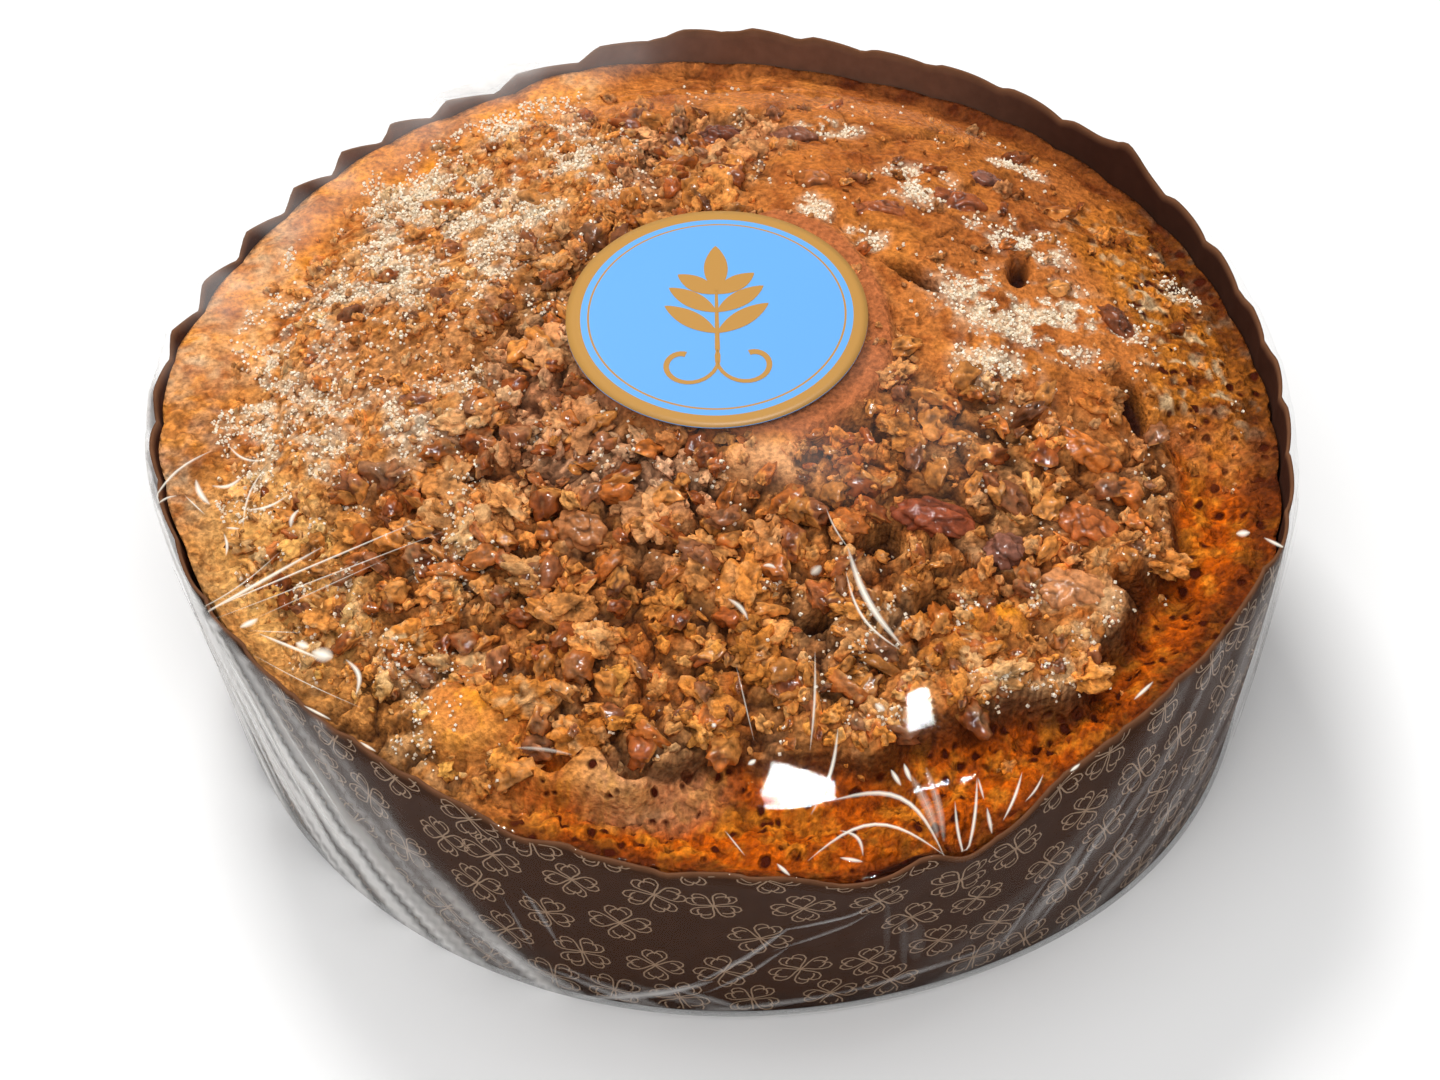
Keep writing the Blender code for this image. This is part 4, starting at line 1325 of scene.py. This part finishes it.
def build_nut_bits():
    """Chopped walnut with red-brown skin and paler broken faces."""
    x, y = scattered_places(NUT_PITCH, 86.0, nut_likelihood, 1.5)
    count = len(x)
    length = 2.6 + 5.6 * draw.random(count) ** 1.3
    sizes = lump_sizes(length, (0.45, 0.75), (0.4, 0.65))
    highest = crown_height(x, y) - CROWN_CLEARANCE - FILM - 0.3
    height = top_height(x, y)[0] + sizes[:, 2] * 0.8 + draw.uniform(0.6, 2.6, count)
    centres = np.column_stack((x, y, np.minimum(height, highest) - sizes[:, 2] * 0.5))
    skins = np.array(NUT_SKINS)[draw.integers(0, len(NUT_SKINS), count)]
    skins = skins * draw.uniform(0.6, 1.12, count)[:, None]
    flesh = np.tile(NUT_FLESH, (count, 1)) * draw.uniform(0.7, 1.05, count)[:, None]
    shapes = [rough_shape(3, 400 + index, 0.6, 2) for index in range(14)]
    finish = baked_material("chopped walnut", 0.16, 1.2, 0.3, 0.6, 1.4, shine=0.6)
    return scatter_piece("nut_bits", "walnut", finish, shapes, centres, sizes, 0.5, skins, flesh, 0.1)


def sugar_share(x, y):
    """How much sugar lies on each point of the top."""
    zone = zones(x, y)
    drifts = 0.55 * sugar_bed(x, y) * zone.crust + 0.14 * (zone.crust + zone.rubble) * sugar_drift(x, y)
    return 0.45 * zone.sugar * pale_sugar(x, y) + drifts + 0.001


def build_sugar(top, crumbs):
    """Grains of sugar on the crust and on top of the crumbs."""
    x, y = top[:, 0], top[:, 1]
    on_top = sugar_share(x, y) ** 1.5 * (np.hypot(x, y) < 91.0)
    chosen = draw.choice(len(top), int(GRAIN_COUNT * GRAINS_ON_TOP), p=on_top / on_top.sum())
    x, y = crumbs[:, 0], crumbs[:, 1]
    on_crumbs = 0.003 + sugar_drift(x, y) ** 2 + sugar_share(x, y)
    extra = draw.choice(len(crumbs), GRAIN_COUNT - len(chosen), p=on_crumbs / on_crumbs.sum())
    centres = np.vstack((top[chosen], crumbs[extra])) + draw.normal(0.0, 0.25, (GRAIN_COUNT, 3))
    centres[:, 2] = under_film(centres[:, 0], centres[:, 1], centres[:, 2] + 0.2) - 0.25
    side = draw.uniform(0.25, 0.5, GRAIN_COUNT)
    corners = np.array([[i, j, k] for i in (-0.5, 0.5) for j in (-0.5, 0.5) for k in (-0.5, 0.5)])
    faces = np.array([[0, 1, 3, 2], [4, 6, 7, 5], [0, 4, 5, 1], [2, 3, 7, 6], [0, 2, 6, 4], [1, 5, 7, 3]])
    turns = np.array(random_turns(GRAIN_COUNT, 1.2))
    points = np.einsum("nij,cj->nci", turns, corners) * side[:, None, None] + centres[:, None, :]
    all_faces = faces[None, :, :] + (np.arange(GRAIN_COUNT) * len(corners))[:, None, None]
    finish = baked_material("sugar", 0.35, 1.5, 0.05, 0.95, 1.05, shine=0.4)
    tints = blend(np.tile(SUGAR_GRAIN, (GRAIN_COUNT, 1)), draw.random(GRAIN_COUNT) ** 1.5, SUGAR_SHADE)
    shades = np.repeat(tints, len(corners), axis=0)
    flat = (points.reshape(-1, 3), all_faces.reshape(-1, 4))
    made = mesh_piece("sugar_grains", *flat, [finish], "crust", (), shades)
    made.data.shade_flat()


def lie_on_crown(x, y, sink, turn):
    """Placement on the crown's slope at x, y, sunk below its surface and turned about its normal."""
    step = 0.5
    slope_x = (crown_height(x + step, y) - crown_height(x - step, y)) / (2 * step)
    slope_y = (crown_height(x, y + step) - crown_height(x, y - step)) / (2 * step)
    normal = Vector((-slope_x, -slope_y, 1.0)).normalized()
    centre = Vector((x, y, float(crown_height(x, y)))) - normal * sink
    lean = Vector((0.0, 0.0, 1.0)).rotation_difference(normal).to_matrix()
    return np.array(centre), np.array(lean @ Matrix.Rotation(turn, 3, "Z"))


def build_walnuts():
    """The twelve large pieces of walnut, with the folds of the kernel."""
    finish = baked_material("walnut skin", 0.18, 1.3, 0.4, 0.6, 1.4, shine=0.55)
    sphere, faces = unit_sphere(5)
    for index, (walnut, colour) in enumerate(zip(WALNUTS, WALNUT_COLOURS), start=1):
        x, y, length, width, height, turn = walnut
        luck = random.Random(SEED + index)
        shift = np.array((luck.uniform(0, 9), luck.uniform(0, 9), luck.uniform(0, 9)))
        phase = sphere * 3.9 + shift
        wave = np.sin(phase[:, 0] * 1.7) * np.cos(phase[:, 1] * 2.1)
        wave = wave + np.sin(phase[:, 2] * 1.9 + phase[:, 0])
        grow = 1.0 - WALNUT_LOBES * (0.5 - 0.25 * wave)
        size = np.array((length, width, height)) * 0.5
        folds = [abs(space_noise.noise(Vector(point * size * 0.26 + shift))) for point in sphere]
        fold = 1.0 - smoothstep(0.0, 0.16, np.array(folds))
        points = sphere * size * (grow - 0.09 * fold)[:, None]
        sink = height * 0.5 + CROWN_CLEARANCE + FILM
        centre, turned = lie_on_crown(x, y, sink, math.radians(turn))
        # Painted shade: the folds of the kernel are darkened
        shades = blend(np.tile(colour, (len(points), 1)), fold * 0.75, colour * 0.2)
        name = f"walnut_{index:02d}"
        mesh_piece(f"{name}_kernel", points @ turned.T + centre, faces, [finish], "walnut", [name], shades)


def case_point(angle, height, offset=0.0):
    """Points on the outer face of the paper at the heights, moved outwards by the offset."""
    share = np.clip((height - CASE_FLOOR) / (case_rim_height(angle) - CASE_FLOOR), 0.0, 1.0)
    return ring(case_radius(angle, share) + offset, angle, height)


def ring_faces(levels, count):
    """Quads between rings of points that are stacked one after another."""
    step = np.arange(count)
    following = np.roll(step, -1)
    rows = []
    for level in range(levels - 1):
        low = level * count
        high = low + count
        rows.append(np.column_stack((low + step, low + following, high + following, high + step)))
    return np.vstack(rows)


def closed_faces(levels, count):
    """Quads between rings of points, and a cap on the first and on the last ring."""
    last = (levels - 1) * count
    caps = [list(range(count - 1, -1, -1)), list(range(last, last + count))]
    return ring_faces(levels, count).tolist() + caps


def build_case():
    """Fluted paper with a pale cut edge, dark on the inside with painted shade, and painted paler at the
    back, where light falls in.
    """
    angles = np.arange(CASE_STEPS) * 360.0 / CASE_STEPS
    heights = [CASE_FLOOR + (case_rim_height(angles) - CASE_FLOOR) * share for share in CASE_SHARES]
    outside = [case_point(angles, height) for height in heights]
    inside = [case_point(angles, height, -CASE_PAPER) for height in reversed(heights)]
    inside[-1][:, 2] += CASE_PAPER
    rings = outside + inside
    faces = closed_faces(len(rings), CASE_STEPS)
    edge = np.tile(PAPER_EDGE, (CASE_STEPS, 1))
    # Painted light and shade: the inside is lit at the back and shaded round the rest
    back = window(angles, 58.0, 140.0, 14.0)
    inner = blend(np.tile(PAPER_INSIDE_SHADED, (CASE_STEPS, 1)), back, PAPER_INSIDE_LIT)
    outer = np.tile(PAPER, (CASE_STEPS, 1))
    shades = np.vstack([outer] * (len(outside) - 1) + [edge, edge] + [inner] * (len(inside) - 1))
    finish = baked_material("brown paper", 0.7, 2.5, 0.1, 0.9, 1.1, shine=0.02)
    mesh_piece("case_paper", np.vstack(rings), faces, [finish], "case_paper", ["paper_case"], shades)


def flower_lines(size):
    """Outline of a four-petalled flower with heart-shaped petals, as lines from its centre."""
    lines = []
    turn = np.linspace(0.0, 2.0 * np.pi, 19) + np.pi
    lobe = 13.0 * np.cos(turn) - 5.0 * np.cos(2 * turn) - 2.0 * np.cos(3 * turn) - np.cos(4 * turn)
    lobe = (lobe + 17.0) / 29.0
    side = np.sin(turn) ** 3
    curl = np.linspace(0.0, 1.0, 5)
    for petal in range(4):
        heading = math.radians(45.0 + 90.0 * petal)
        along = np.array((math.cos(heading), math.sin(heading)))
        across = np.array((-along[1], along[0]))
        lines.append(0.5 * size * (lobe[:, None] * along + 0.44 * side[:, None] * across))
        for mirror in (-1.0, 1.0):
            bent = mirror * (0.06 + 0.2 * np.sin(curl * np.pi * 0.6))
            lines.append(0.5 * size * ((0.84 - 0.3 * curl)[:, None] * along + bent[:, None] * across))
    return lines


def sideways(path):
    """Unit directions across a path, at each of its points."""
    along = np.gradient(path, axis=0)
    along = along / np.maximum(np.hypot(along[:, 0], along[:, 1]), 1e-6)[:, None]
    return np.column_stack((-along[:, 1], along[:, 0]))


def line_strip(line, width):
    """Points in pairs along both edges of a flat line of the given width."""
    across = sideways(line) * np.asarray(width).reshape(-1, 1) * 0.5
    return np.stack((line + across, line - across), axis=1).reshape(-1, 2)


def strip_faces(start, steps):
    """Quads along a strip of paired points that begins at the given point."""
    return [(corner, corner + 1, corner + 3, corner + 2) for corner in range(start, start + 2 * steps, 2)]


def build_flowers():
    """Tan line flowers printed over the outside of the paper."""
    luck = random.Random(SEED + 5)
    around = 2.0 * math.pi * CASE_RIM_RADIUS
    columns = int(around / FLOWER_PITCH)
    points = []
    faces = []
    start = 0
    for column in range(columns):
        for row in range(FLOWER_ROWS):
            if luck.random() < 0.1:
                continue
            middle_s = (column + 0.5 * (row % 2) + luck.uniform(-0.14, 0.14)) * around / columns
            middle_h = (row + 0.35 + luck.uniform(-0.12, 0.12)) * FLOWER_PITCH * 0.9
            turn = luck.uniform(-0.8, 0.8)
            spin = np.array(((math.cos(turn), math.sin(turn)), (-math.sin(turn), math.cos(turn))))
            for line in flower_lines(luck.uniform(9.2, 10.8)):
                sides = line_strip(line @ spin, FLOWER_LINE) + np.array((middle_s, middle_h))
                angle = np.degrees(sides[:, 0] / CASE_RIM_RADIUS)
                height = sides[:, 1] + CASE_FLOOR
                inside = (height > CASE_FLOOR + 0.3) & (height < case_rim_height(angle) - 0.2)
                points.append(case_point(angle, np.clip(height, CASE_FLOOR, CASE_FLOOR + 60.0), 0.05))
                for face in strip_faces(start, len(line) - 1):
                    if inside[np.array(face) - start].all():
                        faces.append(face)
                start += len(sides)
    finish = plain_material("tan print", PAPER_PRINT, 0.6)
    mesh_piece("case_flowers", np.vstack(points), faces, [finish], "case_paper")


def film_material(name, tint):
    """Clear film that shines at its surface, with a pale diffuse layer where it is gathered and where
    painted sheen and glints lie on its streaks, folds and creases.
    """
    made, tree, shader = new_material(name)
    tree.nodes.remove(shader)
    side = add_node(tree, "NewGeometry")
    index = add_node(tree, "MapRange", {"To Min": FILM_INDEX, "To Max": 1.0 / FILM_INDEX})
    fresnel = add_node(tree, "Fresnel")
    thin = add_node(tree, "Math", {1: FILM_SHINE}, operation="MULTIPLY")
    gloss = add_node(tree, "BsdfGlossy", {"Roughness": 0.025})
    clear = add_node(tree, "BsdfTransparent")
    # The pale diffuse layer stands for real milkiness and painted sheen alike
    milky_sheen = add_node(tree, "BsdfDiffuse", {"Color": (*tint, 1.0)})
    haze_and_sheen = add_node(tree, "Attribute", attribute_name="shade")
    surface = add_node(tree, "MixShader")
    whole = add_node(tree, "MixShader")
    join(
        tree,
        (side.outputs["Backfacing"], index.inputs["Value"]),
        (index.outputs["Result"], fresnel.inputs["IOR"]),
        (fresnel.outputs["Fac"], thin.inputs[0]),
        (thin.outputs["Value"], surface.inputs[0]),
        (clear.outputs["BSDF"], surface.inputs[1]),
        (gloss.outputs["BSDF"], surface.inputs[2]),
        (haze_and_sheen.outputs["Fac"], whole.inputs[0]),
        (surface.outputs["Shader"], whole.inputs[1]),
        (milky_sheen.outputs["BSDF"], whole.inputs[2]),
        (whole.outputs["Shader"], tree.nodes["Material Output"].inputs["Surface"]),
    )
    return made


def film_rings():
    """Rings of the film from the top of the crown over the rim, down the wall and under the floor."""
    angles = np.arange(FILM_STEPS) * 360.0 / FILM_STEPS
    ear = 0.55 * swell(angles, FILM_FOLD[0], FILM_FOLD[1])
    rings = []
    haze_and_sheen = []
    for share in np.linspace(0.02, 1.0, CROWN_RINGS):
        flat = ring(share * (film_wall_radius(angles, 1.0) - FILM_RIM_INSET), angles, 0.0)
        flat[:, 2] = film_top(flat[:, 0], flat[:, 1])
        rings.append(flat)
        haze_and_sheen.append(ear * smoothstep(0.94, 1.0, share) + crown_haze_and_sheen(flat[:, 0], flat[:, 1], share))
    for share in np.linspace(1.0, 0.0, WALL_RINGS):
        slant = angles * 1.6 + 22.0 * (1.0 - share)
        fold = 0.5 + 0.5 * noise(slant, share * 3.0 + angles * 0.05, 4.5, 103)
        radius = film_wall_radius(angles, share) + 0.6 * fold**2 * np.sin(np.pi * share)
        rings.append(ring(radius, angles, (film_rim_height(angles) - FILM_RIM_DROP) * share))
        haze_and_sheen.append(ear * smoothstep(0.8, 1.0, share) + wall_sheen(angles, share))
    rings.append(ring(AIR_HOLE_RADIUS, angles, 0.0))
    haze_and_sheen.append(np.zeros(FILM_STEPS))
    return rings, haze_and_sheen


def crown_haze_and_sheen(x, y, share):
    """How whitish the film is on the crown: round the back left edge, and beside the label as painted
    sheen.
    """
    radius, angle = polar(x, y)
    streaks = 0.5 + 0.5 * noise(angle * 0.9, radius * 0.25, 3.0, 135)
    edge = 0.17 * smoothstep(0.86, 0.94, share) * window(angle, 100.0, 172.0, 12.0) * streaks
    beside = 0.07 * patch(x, y, SHEEN_BY_LABEL) * (0.5 + 0.5 * noise(x, y, 14.0, 137))
    return edge + beside


def wall_sheen(angle, share):
    """How whitish the film is on the wall, as painted sheen: in streaks that run forwards and down from the
    sides.
    """
    milky_sheen = np.zeros(len(angle))
    for start, lean, strength in WALL_SHEEN_STREAKS:
        slanted = (angle - start - lean * (1.0 - share) + 180.0) % 360.0 - 180.0
        ridges = 0.5 + 0.5 * noise(slanted, share * 1.6, 1.9, 131)
        milky_sheen = milky_sheen + strength * (0.06 + ridges**2.5) * window(slanted, -22.0, 22.0, 10.0)
    return np.minimum(milky_sheen, 0.82)


def build_film(finish):
    rings, haze_and_sheen = film_rings()
    faces = ring_faces(len(rings), FILM_STEPS)[:, ::-1].tolist()
    faces.append(list(range(FILM_STEPS)))
    shades = np.repeat(np.concatenate(haze_and_sheen)[:, None], 3, axis=1)
    mesh_piece("film_wrap", np.vstack(rings), faces, [finish], "film", ["film"], shades)


def view_axes():
    """Eye of the photographed view in millimetres, and its rightward, upward and backward directions."""
    elevation = math.radians(VIEW_ELEVATION)
    roll = math.radians(VIEW_ROLL)
    back = np.array((0.0, -math.cos(elevation), math.sin(elevation)))
    level = np.array((1.0, 0.0, 0.0))
    upward = np.array((0.0, math.sin(elevation), math.cos(elevation)))
    right = math.cos(roll) * level + math.sin(roll) * upward
    up = -math.sin(roll) * level + math.cos(roll) * upward
    return np.array(VIEW_TARGET) + back * VIEW_DISTANCE, right, up, back


def seen_on_film(columns, rows):
    """Plan places of the film that show at the given pixels of the photographed view."""
    eye, right, up, back = view_axes()
    focal = LENS / SENSOR_WIDTH * PHOTO_WIDTH
    across = (columns - PHOTO_WIDTH / 2.0) / focal
    down = (rows - PHOTO_HEIGHT / 2.0) / focal
    ray = across[:, None] * right - down[:, None] * up - back
    near = (eye[2] - ABOVE_FILM) / -ray[:, 2]
    far = (eye[2] - BELOW_CROWN_EDGE) / -ray[:, 2]
    for _ in range(SEARCH_STEPS):
        middle = (near + far) / 2.0
        place = eye + middle[:, None] * ray
        below = place[:, 2] < film_top(place[:, 0], place[:, 1])
        far = np.where(below, middle, far)
        near = np.where(below, near, middle)
    radius, angle = polar(place[:, 0], place[:, 1])
    inwards = np.minimum(1.0, (film_wall_radius(angle, 1.0) - 0.8) / radius)
    return place[:, :2] * inwards[:, None]


def tapered(share):
    """1 along most of a crease and narrower towards both its ends."""
    return np.sin(np.pi * np.clip(share * 0.94 + 0.03, 0.0, 1.0)) ** 0.6


def crown_crease(start_x, start_y, end_x, end_y, bow, width, haze_and_sheen):
    """A crease that bows to one side as it is seen: plan points along it, widths and milkiness, which
    paints its highlight.
    """
    share = np.linspace(0.0, 1.0, CREASE_STEPS + 1)
    span = np.array((end_x - start_x, end_y - start_y), float)
    aside = np.array((-span[1], span[0])) / np.hypot(*span)
    path = np.array((start_x, start_y)) + share[:, None] * span
    path = path + np.sin(np.pi * share)[:, None] * bow * aside
    return seen_on_film(path[:, 0], path[:, 1]), width * tapered(share), haze_and_sheen * tapered(share)


def wall_creases():
    """The long folds, and slanting ones at both sides and over the foot of the front."""
    luck = random.Random(SEED + 12)
    plan = list(WALL_FOLDS)
    for count, first, last, top, slant, strength in FOLD_GROUPS:
        for _ in range(count):
            start = luck.uniform(first, last)
            high = top * luck.uniform(0.55, 0.97)
            low = high * luck.uniform(0.05, 0.6)
            lean = slant * (high - low) * luck.uniform(0.8, 1.2)
            width = luck.uniform(0.7, 2.2) ** 2
            plan.append((start, high, start + lean, low, width, strength * luck.uniform(0.5, 1.5)))
    return plan


def tent(path, across, height_of, half_width, haze_and_sheen):
    """Three rows of points along a crease, clear at its edges and whitish along its ridge, where its
    highlight is painted.
    """
    rows = [path + across * half_width[:, None], path, path - across * half_width[:, None]]
    points = np.stack([height_of(row, lift) for row, lift in zip(rows, CREASE_LIFTS)], axis=1)
    milky_sheen = np.stack((haze_and_sheen * 0.0, haze_and_sheen, haze_and_sheen * 0.0), axis=1)
    return points.reshape(-1, 3), milky_sheen.ravel()


def on_crown(row, lift):
    return np.column_stack((row[:, 0], row[:, 1], film_top(row[:, 0], row[:, 1]) + lift))


def on_wall(row, lift):
    """Points on the film's wall for angles in degrees and shares of its height."""
    angle, share = row.T
    height = (film_rim_height(angle) - FILM_RIM_DROP) * share
    return ring(film_wall_radius(angle, share) + 0.45 + lift, angle, height)


def crown_tents():
    """The creases and painted glints on the crown, where the photo shows them."""
    tents = []
    for crease in LEFT_CREASES + MIDDLE_CREASES + FRONT_CREASES:
        path, width, haze_and_sheen = crown_crease(*crease)
        tents.append(tent(path, sideways(path), on_crown, width * 0.58, haze_and_sheen))
    return tents


def wall_tents():
    """The creases on the wall, with their sheen painted whitish."""
    tents = []
    share = np.linspace(0.0, 1.0, CREASE_STEPS + 1)
    size = np.array((math.radians(CASE_RIM_RADIUS), CASE_RIM_HEIGHT))
    for start, high, end, low, width, strength in wall_creases():
        path = np.column_stack((start + (end - start) * share**0.8, high + (low - high) * share))
        across = sideways(path * size) / size
        tents.append(tent(path, across, on_wall, width * 0.5 * tapered(share), strength * tapered(share)))
    return tents


def build_creases(name, plan, finish):
    """The film's creases, as thin tents that lie on it, with their highlights painted whitish."""
    faces = []
    for index in range(len(plan)):
        for step in range(CREASE_STEPS):
            corner = 3 * (index * (CREASE_STEPS + 1) + step)
            faces.append((corner, corner + 1, corner + 4, corner + 3))
            faces.append((corner + 1, corner + 2, corner + 5, corner + 4))
    haze_and_sheen = np.concatenate([milky_sheen for points, milky_sheen in plan])
    shades = np.repeat(haze_and_sheen[:, None], 3, axis=1)
    mesh_piece(name, np.vstack([points for points, milky_sheen in plan]), faces, [finish], "film", (), shades)


def label_point(u, v, lift):
    """Points on the label's face: u to the right and v to the back from its centre."""
    x = LABEL_CENTRE[0] + u
    y = LABEL_CENTRE[1] + v
    return np.column_stack((x, y, film_top(x, y) + LABEL_LIFT + LABEL_THICKNESS + lift))


def sprig_strokes():
    """A symmetrical leaf sprig on a stem that ends in two curls: paths and widths along them."""
    share = np.linspace(0.0, 1.0, 25)
    strokes = [(np.column_stack((0.0 * share, -9.4 + 15.4 * share)), 0.9 - 0.4 * share)]
    leaves = [(4.5, 90.0, 12.0, 4.2)]
    for mirror in (-1.0, 1.0):
        for base, length in ((-5.5, 11.5), (-0.5, 10.5), (4.0, 8.5)):
            leaves.append((base, 90.0 - mirror * 52.0, length, 3.6))
        turn = np.radians(155.0 + 300.0 * share)
        reach = 6.1 - 4.3 * share
        curl = np.column_stack((mirror * (5.6 + reach * np.cos(turn)), -12.0 + reach * np.sin(turn)))
        strokes.append((curl, 0.6 + 0.6 * share))
    for base, heading, length, width in leaves:
        direction = np.array((math.cos(math.radians(heading)), math.sin(math.radians(heading))))
        leaf = np.array((0.0, base)) + share[:, None] * direction * length
        strokes.append((leaf, width * np.sin(np.pi * share) ** 0.8))
    return strokes


def build_label():
    """Blue label with a gold ring, a hairline and a gold leaf sprig."""
    blue = plain_material("sky blue", LABEL_BLUE, 0.35)
    gold = plain_material("label gold", LABEL_GOLD, 0.4)
    angles = np.radians(np.arange(LABEL_STEPS) * 360.0 / LABEL_STEPS)
    face = [label_point(radius * np.cos(angles), radius * np.sin(angles), 0.0) for radius in LABEL_RADII]
    back = [points - np.array((0.0, 0.0, LABEL_THICKNESS)) for points in reversed(face)]
    levels = len(face) + len(back)
    faces = closed_faces(levels, LABEL_STEPS)
    finish_of = []
    for level in range(1, levels):
        finish_of += [int(level in GOLD_RINGS)] * LABEL_STEPS
    finish_of += [0, 0]
    points = [*face, *back]
    start = levels * LABEL_STEPS
    for line, widths in sprig_strokes():
        sides = line_strip(line, widths)
        points.append(label_point(sides[:, 0], sides[:, 1], PRINT_LIFT))
        faces += strip_faces(start, len(line) - 1)
        finish_of += [1] * (len(line) - 1)
        start += len(sides)
    mesh_piece("label_print", np.vstack(points), faces, [blue, gold], "label", ["label"], None, finish_of)


def build_floor():
    mesh = bpy.data.meshes.new("floor")
    mesh.from_pydata([(-4, -4, 0), (4, -4, 0), (4, 4, 0), (-4, 4, 0)], [], [(0, 1, 2, 3)])
    mesh.materials.append(plain_material("white floor", FLOOR_WHITE, 0.6))
    add_object("floor", mesh)


def area_light(name, place, target, size, power, colour=(1.0, 1.0, 1.0)):
    light = bpy.data.lights.new(name, "AREA")
    light.shape = "RECTANGLE"
    light.size = size[0]
    light.size_y = size[1]
    light.energy = power
    light.color = colour
    lamp = add_object(name, light)
    lamp.location = place
    lamp.rotation_euler = (Vector(target) - Vector(place)).to_track_quat("-Z", "Y").to_euler()
    return lamp


def build_camera():
    eye, right, up, back = (Vector(row) for row in view_axes())
    camera = add_object("camera", bpy.data.cameras.new("camera"))
    camera.data.lens = LENS
    camera.data.sensor_width = SENSOR_WIDTH
    camera.data.clip_start = 0.01
    turned = Matrix((right, up, back)).transposed().to_4x4()
    camera.matrix_world = Matrix.Translation((eye + Vector((BASE_CENTRE_X, 0.0, 0.0))) * MM) @ turned
    bpy.context.scene.camera = camera
    return camera


def mirror_direction(x, y, eye):
    """Where the film at x, y reflects the eye to: the place on it and the direction away from it."""
    step = 1.0
    right, left, back, front, middle = film_top(
        np.array((x + step, x - step, x, x, x)), np.array((y, y, y + step, y - step, y))
    )
    normal = Vector(((left - right) / (2 * step), (front - back) / (2 * step), 1.0)).normalized()
    place = Vector((x + BASE_CENTRE_X, y, middle)) * MM
    towards = (eye - place).normalized()
    return place, 2.0 * normal.dot(towards) * normal - towards


def build_lights(camera):
    """A wide panel over the front, a soft key from the back left and two boxes that the film mirrors."""
    world = bpy.data.worlds.new("studio")
    world.use_nodes = True
    background = world.node_tree.nodes["Background"]
    background.inputs["Color"].default_value = (1.0, 1.0, 1.0, 1.0)
    background.inputs["Strength"].default_value = WORLD_STRENGTH
    bpy.context.scene.world = world
    eye = camera.matrix_world.translation
    for name, x, y, size, power in BOXES:
        place, direction = mirror_direction(x, y, eye)
        box = area_light(name, place + direction * BOX_DISTANCE, place, size, power)
        box.visible_diffuse = False
    panel = area_light("panel", PANEL_PLACE, (0.0, 0.0, 0.0), PANEL_SIZE, PANEL_POWER)
    panel.visible_glossy = False
    key = area_light("key", KEY_PLACE, (0.0, 0.0, 0.05), KEY_SIZE, KEY_POWER, (1.0, 0.99, 0.975))
    key.visible_glossy = False


def main():
    top = build_cake()
    loose = [build_crumbs(*kind) for kind in CRUMB_KINDS]
    crumbs = np.vstack((*loose, build_clumps(), build_nut_bits()))
    build_sugar(top, crumbs)
    build_walnuts()
    build_case()
    build_flowers()
    film = film_material("clear film", FILM_HAZE_AND_SHEEN)
    warm_film = film_material("film over crust", WARM_HAZE_AND_GLINT)
    build_film(film)
    build_creases("crown_creases_and_glints", crown_tents(), warm_film)
    build_creases("wall_creases", wall_tents(), film)
    build_label()
    build_floor()
    camera = build_camera()
    build_lights(camera)
    bpy.context.scene.view_settings.view_transform = "Standard"


main()
